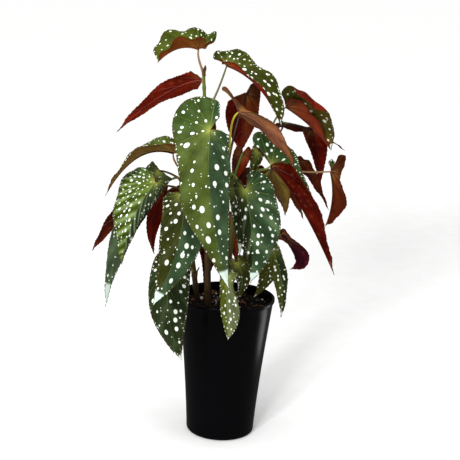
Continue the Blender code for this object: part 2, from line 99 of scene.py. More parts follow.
# Settings that many nodes share
SMOOTH = {"interpolation_type": "SMOOTHSTEP"}
FLAT_NOISE = {"noise_dimensions": "2D"}
FLAT_CELLS = {"voronoi_dimensions": "2D"}


class Shape(Enum):
    """Ways in which half a blade narrows: share of its width at STATIONS."""

    WING = (1.00, 0.90, 0.70, 0.42, 0.17)
    FULL = (1.00, 1.04, 0.92, 0.62, 0.27)
    WAIST = (0.80, 0.72, 0.70, 0.40, 0.16)
    SLIM = (0.95, 0.72, 0.48, 0.26, 0.11)
    BLUNT = (1.00, 1.00, 1.00, 0.92, 0.60)
    BULGE = (0.50, 0.80, 1.00, 0.80, 0.36)
    NOTCH = (1.00, 0.80, 0.88, 0.66, 0.26)


class Green(Enum):
    """Greens of the upper side, as sRGB hex, some with painted sheen and some with painted shade in them."""

    LEAF = "#475420"
    FERN = "#31471F"
    MOSS = "#434C0C"
    OLIVE = "#3A3E0E"
    BRONZE = "#5A4C18"
    # A green under a painted bluish sheen, the sky's reflection on halves that face it
    BOTTLE = "#354B30"
    SLATE = "#36442E"
    LIME = "#46580F"
    SHADE = "#1E2712"
    DEEP = "#2C2F0B"
    PINE = "#253018"
    # A green under a painted pale sheen
    FROST = "#68704A"


class Under(Enum):
    """Colours of the underside, as sRGB hex."""

    BRICK = "#6C1808"
    CRIMSON = "#500903"
    MAROON = "#3E0703"
    RUST = "#683010"
    BROWN = "#4C1A0A"
    # Paler and warmer partly as painted light that shines through the blade from behind
    TAN = "#764832"
    AMBER = "#783E14"
    # Paler and warmer partly as painted light that shines through the blade from behind
    OLIVE = "#745A2C"
    PLUM = "#360818"
    ROSE = "#6C281A"


class StalkTone(Enum):
    """Colours of the leaf stalks, as sRGB hex."""

    GREEN = "#5E7430"
    LIGHT = "#8A9C46"
    YELLOW = "#B4AE2E"
    GREY = "#75744A"
    PINK = "#94704C"
    BROWN = "#5E4828"
    DARK = "#2A120C"


def both(value: Enum) -> tuple:
    """The same value for the left and the right half of a blade."""
    return value, value


def to_linear(colour: str) -> tuple:
    """Turns an sRGB hex colour to linear.

    Args:
        colour: six hex digits after a hash.

    Returns:
        Red, green, blue and an alpha of 1.
    """
    channels = (int(colour[k:k + 2], 16) / 255 for k in (1, 3, 5))
    return (*(c / 12.92 if c <= 0.04045 else ((c + 0.055) / 1.055) ** 2.4 for c in channels), 1.0)


def mesh_tone(colour: str) -> np.ndarray:
    """Linear red, green and blue of an sRGB hex colour, as the points of a mesh carry them."""
    return np.array(to_linear(colour)[:3])


def feed(node: bpy.types.Node, inputs: dict) -> None:
    """Sets a node's inputs, or links nodes to them.

    Args:
        node: the node.
        inputs: for each input, by name or number, a value, a socket, or a node whose first output it takes.
    """
    for name, value in inputs.items():
        if isinstance(value, bpy.types.Node):
            value = next(output for output in value.outputs if output.enabled)
        if isinstance(value, bpy.types.NodeSocket):
            node.id_data.links.new(value, node.inputs[name])
        else:
            node.inputs[name].default_value = value


def add_node(tree: bpy.types.NodeTree, kind: str, inputs: dict | tuple = (),
             **settings: str) -> bpy.types.Node:
    """Adds a node with its settings and links.

    Args:
        tree: the node tree.
        kind: the node's type without its ShaderNode prefix.
        inputs: what feed takes, or the same for the first inputs in their order.
        settings: the node's own properties.

    Returns:
        The node.
    """
    made = tree.nodes.new("ShaderNode" + kind)
    for name, value in settings.items():
        setattr(made, name, value)
    feed(made, inputs if isinstance(inputs, dict) else dict(enumerate(inputs)))
    return made


def unit(vector: np.ndarray) -> np.ndarray:
    """Vectors, in the last axis, brought to length 1."""
    return vector / np.maximum(np.linalg.norm(vector, axis=-1, keepdims=True), 1e-9)


def smoothstep(low: float, high: float, value: np.ndarray) -> np.ndarray:
    """Rises smoothly from 0 at low to 1 at high."""
    t = np.clip((value - low) / (high - low), 0, 1)
    return t * t * (3 - 2 * t)


def circle(sides: int) -> np.ndarray:
    """Points of a circle of radius 1, one a row."""
    turn = np.arange(sides) * 2 * math.pi / sides
    return np.stack([np.cos(turn), np.sin(turn)], 1)


def through(points: np.ndarray, station: np.ndarray) -> np.ndarray:
    """Reads a smooth curve that passes through points.

    Args:
        points: the points, one a row.
        station: where to read it, in steps from point to point.

    Returns:
        A point for each station.
    """
    p = np.array(points, float)
    p = np.vstack([2 * p[0] - p[1], p, 2 * p[-1] - p[-2]])
    i = np.minimum(station.astype(int), len(points) - 2)
    t = (station - i)[:, None]
    a, b, c, d = p[i], p[i + 1], p[i + 2], p[i + 3]
    return 0.5 * (2 * b + (c - a) * t + (2 * a - 5 * b + 4 * c - d) * t**2 + (3 * b - a - 3 * c + d) * t**3)


class MeshKit:
    """Collects points, faces, material numbers and marks, and makes one mesh object of them."""

    def __init__(self) -> None:
        """Starts empty."""
        self.points: list = []
        self.faces: list = []
        self.slots: list = []
        self.marks: list = []
        self.count = 0

    def add(self, points: np.ndarray, faces: list, slots: int | list = 0, marks: dict = None) -> None:
        """Adds a stretch of mesh.

        Args:
            points: its points in millimetres.
            faces: its faces, as tuples of numbers into points.
            slots: the number of its material, or one for each face.
            marks: for each named mark, a row of three numbers a point.
        """
        self.points.append(points)
        self.faces += [tuple(int(k) + self.count for k in face) for face in faces]
        self.slots += np.broadcast_to(slots, len(faces)).tolist()
        self.marks.append(marks or {})
        self.count += len(points)

    def add_rings(self, rings: list, ends: list, marks: dict = None, slot: int = 0) -> None:
        """Adds a closed body of rings that turn anticlockwise as seen from its last end.

        Args:
            rings: the rings, each of the same number of points.
            ends: the point that closes each end.
            marks: for each named mark, a row of three numbers for each ring, or one for all.
            slot: the number of its material.
        """
        sides = len(rings[0])
        last = (len(rings) - 1) * sides
        points = np.vstack([*rings, ends])
        faces = []
        for j in range(sides):
            j2 = (j + 1) % sides
            faces += [(k + j, k + j2, k + sides + j2, k + sides + j) for k in range(0, last, sides)]
            faces += [(j2, j, len(points) - 2), (last + j, last + j2, len(points) - 1)]
        spread = {}
        for name, rows in (marks or {}).items():
            rows = np.broadcast_to(rows, (len(rings), 3))
            spread[name] = np.vstack([np.repeat(rows, sides, axis=0), rows[:1], rows[-1:]])
        self.add(points, faces, slot, spread)

    def add_tube(self, line: np.ndarray, radii: np.ndarray, sides: int, marks: dict = None,
                 slot: int = 0) -> None:
        """Adds a closed tube.

        Args:
            line: points on its centre line, in millimetres.
            radii: its radius at each point.
            sides: how many sides it has.
            marks: for each named mark, a row of three numbers for each point, or one for all.
            slot: the number of its material.
        """
        heading = unit(np.gradient(line, axis=0))
        side = np.cross(heading[0], (0.3, 0.2, 1.0) if abs(heading[0][2]) < 0.9 else (1.0, 0.2, 0.1))
        rings = []
        for place, ahead, radius in zip(line, heading, radii):
            side = unit(side - ahead * np.dot(side, ahead))
            rings.append(place + radius * circle(sides) @ np.array((side, np.cross(ahead, side))))
        self.add_rings(rings, [line[0], line[-1]], marks, slot)

    def add_sheet(self, grid: np.ndarray, index: np.ndarray, rim: np.ndarray, thickness: float,
                  slots: tuple, marks: tuple = ({}, {})) -> None:
        """Adds a thin closed sheet.

        Args:
            grid: its middle surface, as rows by columns of points.
            index: for each point of the grid, the number of the point that stands for it.
            rim: the numbers of the points on the sheet's edge, in order.
            thickness: from one side to the other, in millimetres.
            slots: material numbers of its upper and lower side.
            marks: for the upper and the lower side, the marks of the grid's points.
        """
        flat = grid.reshape(-1, 3)
        quads = np.stack([index[:-1, :-1], index[1:, :-1], index[1:, 1:], index[:-1, 1:]], -1).reshape(-1, 4)
        facing = np.cross(flat[quads[:, 2]] - flat[quads[:, 0]], flat[quads[:, 3]] - flat[quads[:, 1]])
        normal = np.zeros_like(flat)
        for k in range(4):
            np.add.at(normal, quads[:, k], facing)
        normal = unit(normal)
        faces = [tuple(dict.fromkeys(quad)) for quad in quads.tolist()]
        faces = [face for face in faces if len(face) > 2]
        used = np.unique(np.concatenate([np.array(face) for face in faces]))
        total = len(used)
        renumber = np.full(len(flat), -1)
        renumber[used] = np.arange(total)
        top = [tuple(renumber[list(face)]) for face in faces]
        bottom = [tuple(k + total for k in reversed(face)) for face in top]
        loop = renumber[rim]
        edge = [(a, a + total, b + total, b) for a, b in zip(loop, np.roll(loop, -1))]
        rise = normal[used] * thickness / 2
        points = np.vstack([flat[used] + rise, flat[used] - rise])
        numbers = [slots[0]] * len(top) + [slots[1]] * (len(bottom) + len(edge))
        spread = {name: np.vstack([side[name].reshape(-1, 3)[used] for side in marks]) for name in marks[0]}
        self.add(points, [*top, *bottom, *edge], numbers, spread)

    def build(self, name: str, materials: list) -> bpy.types.Object:
        """Makes the object and puts it in the scene.

        Args:
            name: the piece's name.
            materials: its materials, in the order of their numbers.

        Returns:
            The object, smooth shaded.
        """
        mesh = bpy.data.meshes.new(name)
        mesh.from_pydata((np.vstack(self.points) * MM).tolist(), [], self.faces)
        for finish in materials:
            mesh.materials.append(finish)
        mesh.polygons.foreach_set("material_index", self.slots)
        for mark in dict.fromkeys(name for marks in self.marks for name in marks):
            rows = [np.broadcast_to(marks.get(mark, 0.0), points.shape)
                    for marks, points in zip(self.marks, self.points)]
            layer = mesh.attributes.new(mark, "FLOAT_VECTOR", "POINT")
            layer.data.foreach_set("vector", np.vstack(rows).astype(np.float32).ravel())
        mesh.shade_smooth()
        mesh.update()
        piece = bpy.data.objects.new(name, mesh)
        bpy.context.scene.collection.objects.link(piece)
        return piece


def settle(piece: bpy.types.Object, node: str) -> None:
    """Says that a piece rides on the plant and stands for a node, whose own piece it hides.

    Args:
        piece: the piece.
        node: the node that it stands for.
    """
    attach(piece, "root")
    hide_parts(node)
    LOG.info("%s: %d faces", piece.name, len(piece.data.polygons))


@dataclass(frozen=True)
class Finish:
    """A surface with a Principled shader.

    Attributes:
        name: the real material's name.
        roughness: its roughness, or the middle of it where a pattern varies it.
        ior: its index of refraction.
        specular: strength of its reflection, where 0.5 is all that its index gives.
    """

    name: str
    roughness: float = 0.5
    ior: float = 1.45
    specular: float = 0.5

    def start(self) -> tuple:
        """Makes the material.

        Returns:
            The material, its shader, and add_node for its tree.
        """
        made = bpy.data.materials.new(self.name)
        made.use_nodes = True
        shader = made.node_tree.nodes["Principled BSDF"]
        feed(shader, {"Roughness": self.roughness, "IOR": self.ior, "Specular IOR Level": self.specular})
        return made, shader, partial(add_node, made.node_tree)


@dataclass(frozen=True)
class LeafSkin(Finish):
    """Waxy skin of a begonia blade: smooth cells give a soft gloss, and air under them makes the white spots.

    Attributes:
        upper: True for the green side, False for the red one.
        blotch: width of a soft blotch, in millimetres.
        mottle: brightness of the darkest and of the lightest blotches.
        dot_step: from one small dot to the next, in millimetres.
        bead_step: from dot to dot along the margin, in millimetres.
        ember: how much of red, green and blue a thin patch of the underside lets through.
        ember_step: size of such a patch, in millimetres.
        net_step: size of the finest meshes of the vein net, in millimetres, drawn twice as coarse as real.
        vein_edge: how far from a vein's middle its pale line starts and is full, in millimetres.
        vein_fade: how far from the joint the veins are at their faintest, in millimetres.
        vein_shown: how much of their colour shows at the joint and there.
        furrow_shade: brightness of the painted shade over a sunk vein.
        border_edge: how far from the margin the border starts and is full, in millimetres.
        border_shown: how much of the border's colour shows.
        margin_edge: how far from it the margin line starts and is full, in millimetres.
        margin_shown: how much of that line's colour shows.
        spot_edge: half the width of a spot's soft edge, in millimetres.
        dot_edge: the same for a small dot, as a share of dot_step.
        relief: height of the vein net, in millimetres.
        crease: depth or height of the larger veins, as a share of relief.
        spot: colour of the spots.
        spot_share: how much of it shows.
        tip: colour of the painted highlight on the tip.
        vein: colour of the veins.
        sheen_and_shade: colour of the painted sheen on the raised skin between two veins.
        border: colour of the last millimetres before the margin, where light comes through.
        margin: colour of the thin margin line.
    """

    upper: bool = True
    blotch: float = 24.0
    mottle: tuple = (0.66, 1.3)
    dot_step: float = 8.0
    bead_step: float = 4.2
    ember: tuple = (1.45, 1.7, 1.1)
    ember_step: float = 38.0
    net_step: float = 2.4
    vein_edge: tuple = (0.8, 0.15)
    vein_fade: float = 60.0
    vein_shown: tuple = (0.6, 0.1)
    furrow_shade: float = 0.35
    border_edge: tuple = (5.0, 0.5)
    border_shown: float = 0.5
    margin_edge: tuple = (0.6, 0.2)
    margin_shown: float = 0.8
    spot_edge: float = 0.25
    dot_edge: float = 0.03
    relief: float = 0.25
    crease: float = 1.5
    spot: str = "#E8EFE2"
    spot_share: float = 1.0
    tip: str = "#D4E7DC"
    vein: str = "#78863C"
    sheen_and_shade: str = "#8CA072"
    border: str = "#3C3410"
    margin: str = "#4A1A0C"

    def marks(self, add: Callable) -> dict:
        """Reads the marks that each blade's points carry.

        Args:
            add: add_node for the material's tree.

        Returns:
            For each mark's name, what a node's input takes.
        """
        found = {}
        for name, parts in LEAF_MARKS.items():
            split = add("SeparateXYZ", (add("Attribute", attribute_name=name).outputs["Vector"],))
            found.update(zip(parts, split.outputs))
        found["right"] = add("Math", (found["across"], 0.0), operation="GREATER_THAN")
        found["flat"] = add("CombineXYZ", (found["across"], found["along"]))
        found["off_rib"] = add("Math", (found["across"],), operation="ABSOLUTE")
        return found

    def spots(self, add: Callable, mark: dict) -> bpy.types.Node:
        """Adds the spots: ovals in loose rows along each half, of which none crosses the rib.

        Args:
            add: add_node for the material's tree.
            mark: the blade's marks.

        Returns:
            A node that gives the distance past a spot's edge, in millimetres.
        """
        # Each half has its own draw of a lattice with one spot in a cell
        place = add("CombineXYZ", (mark["off_rib"], mark["along"]))
        steps = add("Math", (1.0, mark["step"]), operation="DIVIDE")
        lattice = add("VectorMath", {0: place, "Scale": steps}, operation="SCALE")
        half = add("Math", (mark["right"], 17.0, mark["seed"]), operation="MULTIPLY_ADD")
        shifted = add("VectorMath", (lattice, add("CombineXYZ", (0.0, half))), operation="ADD")
        cells = add("TexVoronoi", {"Vector": shifted, "Scale": 1.0, "Randomness": 0.72}, **FLAT_CELLS)
        middle = cells.outputs["Position"]

        # The draw gives a spot's size, and those at the rib are left out
        clear = add("MapRange", (add("SeparateXYZ", (middle,)), 0.16, 0.3))
        lot = add("SeparateColor", (cells.outputs["Color"],))
        share = add("MapRange", (lot, 0.06, 0.8, 0.42, 1.0))
        kept = add("Math", (share, clear), operation="MULTIPLY")
        radius = add("Math", (kept, mark["largest"]), operation="MULTIPLY")

        # A spot is long on the way out from the joint, so less of that way counts
        away = add("VectorMath", (shifted, middle), operation="SUBTRACT")
        outward = add("VectorMath", (place,), operation="NORMALIZE")
        run = add("VectorMath", (away, outward), operation="DOT_PRODUCT")
        excess = add("Math", (run, mark["long"]), operation="MULTIPLY")
        cut = add("VectorMath", {0: outward, "Scale": excess}, operation="SCALE")
        squat = add("VectorMath", (away, cut), operation="SUBTRACT")
        apart = add("VectorMath", (squat,), operation="LENGTH")
        distance = add("Math", (apart, mark["step"]), operation="MULTIPLY")
        return add("Math", (distance, radius), operation="SUBTRACT")

    def dots(self, add: Callable, mark: dict) -> bpy.types.Node:
        """Adds the small dots scattered between the spots.

        Args:
            add: add_node for the material's tree.
            mark: the blade's marks.

        Returns:
            A node that gives the distance past a dot's edge, as a share of dot_step.
        """
        cells = add("TexVoronoi", {"Vector": mark["flat"], "Scale": 1 / self.dot_step}, **FLAT_CELLS)
        lot = add("SeparateColor", (cells.outputs["Color"],))
        size = add("MapRange", (lot, 0.55, 1.0, 0.0, 0.12))
        return add("Math", (cells, size), operation="SUBTRACT")

    def beads(self, add: Callable, mark: dict) -> bpy.types.Node:
        """Adds the fine dots that follow the margin, about a third of them missing.

        Args:
            add: add_node for the material's tree.
            mark: the blade's marks.

        Returns:
            A node that gives the distance past a dot's edge, in millimetres.
        """
        place = add("Math", (mark["run"], self.bead_step), operation="DIVIDE")
        cell = add("Math", (place,), operation="FLOOR")
        lot = add("TexWhiteNoise", (add("CombineXYZ", (cell, mark["right"])),), **FLAT_NOISE)
        inner = add("Math", (place,), operation="FRACT")
        beside = add("Math", (inner, self.bead_step, -self.bead_step / 2), operation="MULTIPLY_ADD")
        inset = add("MapRange", (lot, 0.0, 1.0, 1.0, 3.0))
        deep = add("Math", (mark["gap"], inset), operation="SUBTRACT")
        apart = add("VectorMath", (add("CombineXYZ", (beside, deep)),), operation="LENGTH")
        second = add("SeparateColor", (lot.outputs["Color"],)).outputs["Green"]
        size = add("MapRange", (second, 0.12, 1.0, -0.3, 1.1))
        return add("Math", (apart, size), operation="SUBTRACT")

    def white(self, add: Callable, mark: dict) -> bpy.types.Node:
        """Adds all that is white on a blade but its tip.

        Args:
            add: add_node for the material's tree.
            mark: the blade's marks.

        Returns:
            A node that gives the white's share.
        """
        most = 0.0
        for beyond, edge in ((self.spots(add, mark), self.spot_edge), (self.dots(add, mark), self.dot_edge),
                             (self.beads(add, mark), self.spot_edge)):
            most = add("Math", (most, add("MapRange", (beyond, edge, -edge), **SMOOTH)), operation="MAXIMUM")
        shown = add("Math", (most, mark["share"]), operation="MULTIPLY")
        return add("Math", (shown, self.spot_share), operation="MULTIPLY")

    def make(self) -> bpy.types.Material:
        """Makes the skin's material.

        Returns:
            The material.
        """
        made, shader, add = self.start()
        mark = self.marks(add)

        # Soft blotches a few centimetres wide, and finer mottling inside them
        blotch = add("TexNoise", {"Vector": mark["flat"], "Scale": 1 / self.blotch, "Detail": 5.0,
                                  "Roughness": 0.6}, **FLAT_NOISE)
        depth = add("MapRange", (blotch, 0.3, 0.7, *self.mottle))
        tone = add("Attribute", attribute_name="tone").outputs["Vector"]
        colour = add("VectorMath", {0: tone, "Scale": depth}, operation="SCALE")
        if not self.upper:
            ember = add("TexNoise", {"Vector": mark["flat"], "Scale": 1 / self.ember_step, "Detail": 3.0},
                        **FLAT_NOISE)
            glow = add("MapRange", (ember, 0.46, 0.72), **SMOOTH)
            warm = add("Mix", {0: glow, 4: (1, 1, 1), 5: self.ember}, data_type="VECTOR")
            colour = add("VectorMath", (colour, warm), operation="MULTIPLY")

        # Side veins run where the vein mark is a whole number, and the rib where across is nil
        wide = add("Math", (mark["vein"], 0.5), operation="PINGPONG")
        off_vein = add("Math", (wide, mark["sector"]), operation="MULTIPLY")
        nearest = add("Math", (off_vein, mark["off_rib"]), operation="MINIMUM")
        line = add("MapRange", (nearest, *self.vein_edge), **SMOOTH)

        # Painted shade darkens the skin in the furrows over the veins, and a painted sheen pales it where it
        # is raised
        furrow = add("MapRange", (wide, 0.24, 0.0), **SMOOTH)
        sunk = add("Math", (furrow, mark["sink"]), operation="MULTIPLY")
        shade = add("MapRange", (sunk, 0.0, 1.0, 1.0, self.furrow_shade))
        colour = add("VectorMath", {0: colour, "Scale": shade}, operation="SCALE")
        ridge = add("MapRange", (wide, 0.26, 0.42), **SMOOTH)
        raised = add("Math", (ridge, mark["quilt"]), operation="MULTIPLY")
        sheen_share = add("Math", (raised, blotch), operation="MULTIPLY")

        # Light comes through the border, veins fade on their way from the joint, and a painted highlight
        # pales the tip
        thin = add("MapRange", (mark["gap"], *self.border_edge, 0.0, self.border_shown), **SMOOTH)
        knot = add("VectorMath", (mark["flat"],), operation="LENGTH")
        fade = add("MapRange", (knot, 0.0, self.vein_fade, *self.vein_shown))
        drawn = add("Math", (line, fade), operation="MULTIPLY")
        tipped = add("MapRange", (mark["pale"], 0.35, 0.65), **SMOOTH)
        tip_glare = add("Math", (tipped, mark["share"]), operation="MULTIPLY")
        rim = add("MapRange", (mark["gap"], *self.margin_edge, 0.0, self.margin_shown), **SMOOTH)
        for share, hue in ((sheen_share, self.sheen_and_shade), (thin, self.border), (drawn, self.vein), (tip_glare, self.tip),
                           (self.white(add, mark), self.spot), (rim, self.margin)):
            colour = add("Mix", {0: share, 6: colour, 7: to_linear(hue)}, data_type="RGBA")

        # The net of small veins lifts the skin between its meshes, and the larger veins are sunk or raised
        net = add("TexVoronoi", {"Vector": mark["flat"], "Scale": 1 / self.net_step},
                  feature="DISTANCE_TO_EDGE", **FLAT_CELLS)
        pillow = add("MapRange", (net, 0.0, 0.35), **SMOOTH)
        sign = -1 if self.upper else 1
        crease = add("Math", (line, sign * self.crease, pillow), operation="MULTIPLY_ADD")
        bump = add("Bump", {"Strength": 0.4, "Distance": self.relief * MM, "Height": crease})
        gloss = add("MapRange", (blotch, 0.3, 0.7, self.roughness - 0.06, self.roughness + 0.1))
        feed(shader, {"Base Color": colour, "Roughness": gloss, "Normal": bump})
        return made


@dataclass(frozen=True)
class VeinSkin(Finish):
    """Raised veins under the blade: a shade paler than the skin beside them, and smooth.

    Attributes:
        lift: how much paler they are.
        mottle: width of a paler or darker stretch, in millimetres.
    """

    lift: float = 1.1
    mottle: float = 4.0

    def make(self) -> bpy.types.Material:
        """Makes the veins' material.

        Returns:
            The material.
        """
        made, shader, add = self.start()
        tone = add("Attribute", attribute_name="tone").outputs["Vector"]
        place = add("TexCoord").outputs["Object"]
        mottled = add("TexNoise", {"Vector": place, "Scale": 1 / (self.mottle * MM)})
        depth = add("MapRange", (mottled, 0.0, 1.0, self.lift * 0.8, self.lift * 1.2))
        feed(shader, {"Base Color": add("VectorMath", {0: tone, "Scale": depth}, operation="SCALE")})
        return made


@dataclass(frozen=True)
class CaneSkin(Finish):
    """Skin of the canes and stalks: smooth and green when young, with brown streaks and cork dots when old.

    Attributes:
        streak: width of a streak, in millimetres.
        slim: a streak's width over its length.
        cork_step: from cork dot to cork dot, in millimetres.
        cork: colour of the dots.
        bark: colour of the streaks.
    """

    streak: float = 1.4
    slim: float = 0.09
    cork_step: float = 5.0
    cork: str = "#8C7850"
    bark: str = "#150C07"

    def make(self) -> bpy.types.Material:
        """Makes the skin's material.

        Returns:
            The material.
        """
        made, shader, add = self.start()
        colour = add("Attribute", attribute_name="tone").outputs["Vector"]
        age = add("SeparateXYZ", (add("Attribute", attribute_name="age").outputs["Vector"],))
        place = add("TexCoord").outputs["Object"]
        drawn = add("VectorMath", (place, (1, 1, self.slim)), operation="MULTIPLY")
        streaks = add("TexNoise", {"Vector": drawn, "Scale": 1 / (self.streak * MM), "Detail": 5.0})
        browned = add("Math", (streaks, age), operation="ADD")
        old = add("MapRange", (browned, 0.65, 1.35), **SMOOTH)
        dots = add("TexVoronoi", {"Vector": place, "Scale": 1 / (self.cork_step * MM)})
        corky = add("MapRange", (dots, 0.16, 0.08, 0.0, 0.7), **SMOOTH)
        for share, hue in ((old, self.bark), (add("Math", (corky, age), operation="MULTIPLY"), self.cork)):
            colour = add("Mix", {0: share, 6: colour, 7: to_linear(hue)}, data_type="RGBA")
        bump = add("Bump", {"Strength": 0.5, "Distance": 0.2 * MM, "Height": streaks})
        feed(shader, {"Base Color": colour, "Normal": bump})
        return made


@dataclass(frozen=True)
class Grainy(Finish):
    """A rough natural stuff in two shades, with grains that show as small bumps.

    Attributes:
        dark: its darker colour.
        light: its lighter colour.
        grain: width of a grain, in millimetres.
        depth: height of a grain, in millimetres.
        stretch: how much the grain is drawn out upright.
    """

    dark: str = "#070504"
    light: str = "#1C140D"
    grain: float = 2.0
    depth: float = 0.6
    stretch: float = 1.0

    def make(self) -> bpy.types.Material:
        """Makes the stuff's material.

        Returns:
            The material.
        """
        made, shader, add = self.start()
        place = add("TexCoord").outputs["Object"]
        drawn = add("VectorMath", (place, (1, 1, 1 / self.stretch)), operation="MULTIPLY")
        grains = add("TexNoise", {"Vector": drawn, "Scale": 1 / (self.grain * MM), "Detail": 6.0,
                                  "Roughness": 0.65})
        share = add("MapRange", (grains, 0.35, 0.68), **SMOOTH)
        colour = add("Mix", {0: share, 6: to_linear(self.dark), 7: to_linear(self.light)}, data_type="RGBA")
        bump = add("Bump", {"Strength": 0.9, "Distance": self.depth * MM, "Height": grains})
        feed(shader, {"Base Color": colour, "Normal": bump})
        return made


@dataclass(frozen=True)
class MouldedPlastic(Finish):
    """Black polypropylene, injection moulded: a near mirror gloss, a little wavy, with a trace of dust.

    Attributes:
        colour: the plastic's colour.
        dust: the dust's colour.
        speck: size of a dust speck, in millimetres.
        wave: width of the waves in the skin, in millimetres.
        stretch: how much the waves are drawn out upright.
        swell: height of the waves, in millimetres.
    """

    colour: str = "#040406"
    dust: str = "#3A3630"
    speck: float = 1.2
    wave: float = 28.0
    stretch: float = 5.0
    swell: float = 0.6

    def make(self) -> bpy.types.Material:
        """Makes the plastic's material.

        Returns:
            The material.
        """
        made, shader, add = self.start()
        place = add("TexCoord").outputs["Object"]
        specks = add("TexNoise", {"Vector": place, "Scale": 1 / (self.speck * MM), "Detail": 3.0})
        dusty = add("MapRange", (specks, 0.7, 0.84, 0.0, 0.12), **SMOOTH)
        colour = add("Mix", {0: dusty, 6: to_linear(self.colour), 7: to_linear(self.dust)}, data_type="RGBA")
        drawn = add("VectorMath", (place, (1, 1, 1 / self.stretch)), operation="MULTIPLY")
        waves = add("TexNoise", {"Vector": drawn, "Scale": 1 / (self.wave * MM), "Detail": 2.0})
        gloss = add("MapRange", (waves, 0.3, 0.7, self.roughness * 0.7, self.roughness * 1.4))
        bump = add("Bump", {"Strength": 0.25, "Distance": self.swell * MM, "Height": waves})
        feed(shader, {"Base Color": colour, "Roughness": gloss, "Normal": bump})
        return made


@dataclass(frozen=True)
class Cane:
    """One upright stem with its leaf stalks and bracts.

    Attributes:
        name: its node.
        path: the points that it passes through above the soil.
        foot_radius: its radius at the soil.
        top_radius: its radius at the top.
        depth: how far it goes into the soil.
        sides: how many sides the cane has.
        stalk_sides: how many sides a stalk has.
        joint_step: from joint to joint where it carries no leaf.
        joint_room: least way from such a joint to a leaf's.
        joint_drop: how far the ring at a joint lies under the stalk's foot.
        swelling: how far the ring at a joint stands out.
        swelling_width: half the ring's height.
        bract_length: length of a bract.
        bract_thickness: its thickness.
        bract_turn: from the side of its leaf to a bract's middle, in radians.
        young: colour of the top.
        old: colour of the foot.
        stalk_foot: colour of a stalk where it leaves the cane.
    """

    name: str
    path: tuple
    foot_radius: float
    top_radius: float
    depth: float = 41.7
    sides: int = 24
    stalk_sides: int = 12
    joint_step: float = 42.0
    joint_room: float = 14.0
    joint_drop: float = 1.5
    swelling: float = 0.55
    swelling_width: float = 2.2
    bract_length: float = 14.95
    bract_thickness: float = 0.3
    bract_turn: float = 1.6
    young: str = "#5E6E24"
    old: str = "#4C3A1C"
    stalk_foot: str = "#7A6A30"

    def centre(self, height: float) -> tuple:
        """Reads the cane at a height.

        Args:
            height: above the floor, in millimetres.

        Returns:
            The point on its centre line, and its radius.
        """
        line = through(self.path, np.linspace(0, len(self.path) - 1, 60))
        place = np.array([np.interp(height, line[:, 2], line[:, k]) for k in range(3)])
        share = (height - line[0, 2]) / (line[-1, 2] - line[0, 2])
        return place, self.foot_radius + (self.top_radius - self.foot_radius) * share

    def add_stem(self, kit: MeshKit, joints: list) -> None:
        """Adds the stem, with a swollen ring at each joint.

        Args:
            kit: the mesh to add it to.
            joints: the heights at which it carries a leaf.
        """
        low, high = self.path[0][2], self.path[-1][2]
        foot = np.array(self.path[0], float)
        line = np.vstack([foot - (0, 0, self.depth), foot,
                          [self.centre(z)[0] for z in np.linspace(low + 6, high, 110)]])
        share = np.clip((line[:, 2] - low) / (high - low), 0, 1)
        radii = self.foot_radius + (self.top_radius - self.foot_radius) * share
        bare = [z for z in np.arange(low + 24, high - 20, self.joint_step)
                if min(abs(z - joint) for joint in joints) > self.joint_room]
        for joint in (*joints, *bare):
            above = line[:, 2] - joint + self.joint_drop
            radii = radii + self.swelling * np.exp(-((above / self.swelling_width) ** 2))
        young, old = mesh_tone(self.young), mesh_tone(self.old)
        tone = old + (young - old) * smoothstep(0.15, 0.95, share)[:, None]
        age = np.stack([0.45 - 0.5 * share] * 3, 1)
        kit.add_tube(line, radii, self.sides, {"tone": tone, "age": age})

    def add_stalk(self, kit: MeshKit, leaf: "Leaf") -> np.ndarray:
        """Adds a leaf's stalk, from inside the cane to the blade's joint.

        Args:
            kit: the mesh to add it to.
            leaf: the leaf that it carries.

        Returns:
            The stalk's first point.
        """
        line, radii = leaf.stalk(self.centre(leaf.cane_height)[0])
        foot, tone = mesh_tone(self.stalk_foot), mesh_tone(leaf.stalk_tone.value)
        mixed = foot + (tone - foot) * smoothstep(0.0, 0.25, np.linspace(0, 1, len(line)))[:, None]
        kit.add_tube(line, radii, self.stalk_sides, {"tone": mixed, "age": -0.25})
        return line[0]

    def add_bract(self, kit: MeshKit, height: float, turn: float) -> None:
        """Adds a papery bract that clasps the cane at a joint.

        Args:
            kit: the mesh to add it to.
            height: of its foot.
            turn: the way it faces, in radians.
        """
        place, radius = self.centre(height)
        # It clasps the cane at its foot, and narrows, stands off and ripples towards its tip
        t = np.linspace(0, 1, 15)[:, None]
        s = np.linspace(-1, 1, 9)[None, :]
        angle = turn + (1.25 * (1 - t) ** 0.7 + 0.02) * s
        spread = radius + 0.5 + 2.6 * t**1.6 + 0.35 * np.sin(7 * t + 2 * s)
        z = height - 3.0 + self.bract_length * t - 1.2 * s**2 * t
        grid = np.stack([place[0] + spread * np.cos(angle), place[1] + spread * np.sin(angle), z], -1)
        index = np.arange(z.size).reshape(z.shape)
        rim = np.concatenate([index[:, 0], index[-1, 1:], index[-2::-1, -1], index[0, -2:0:-1]])
        kit.add_sheet(grid, index, rim, self.bract_thickness, (1, 1))

    def build(self, leaves: list, finishes: list) -> None:
        """Builds the cane's piece, with a bract at every second leaf.

        Args:
            leaves: the leaves that it carries.
            finishes: the materials of its skin and its bracts.
        """
        kit = MeshKit()
        self.add_stem(kit, [leaf.cane_height for leaf in leaves])
        for k, leaf in enumerate(leaves):
            root = self.add_stalk(kit, leaf)
            if k % 2 == 0:
                turn = math.atan2(leaf.joint[1] - root[1], leaf.joint[0] - root[0]) + self.bract_turn
                self.add_bract(kit, leaf.cane_height, turn)
        settle(kit.build(self.name + "_stem", finishes), self.name)


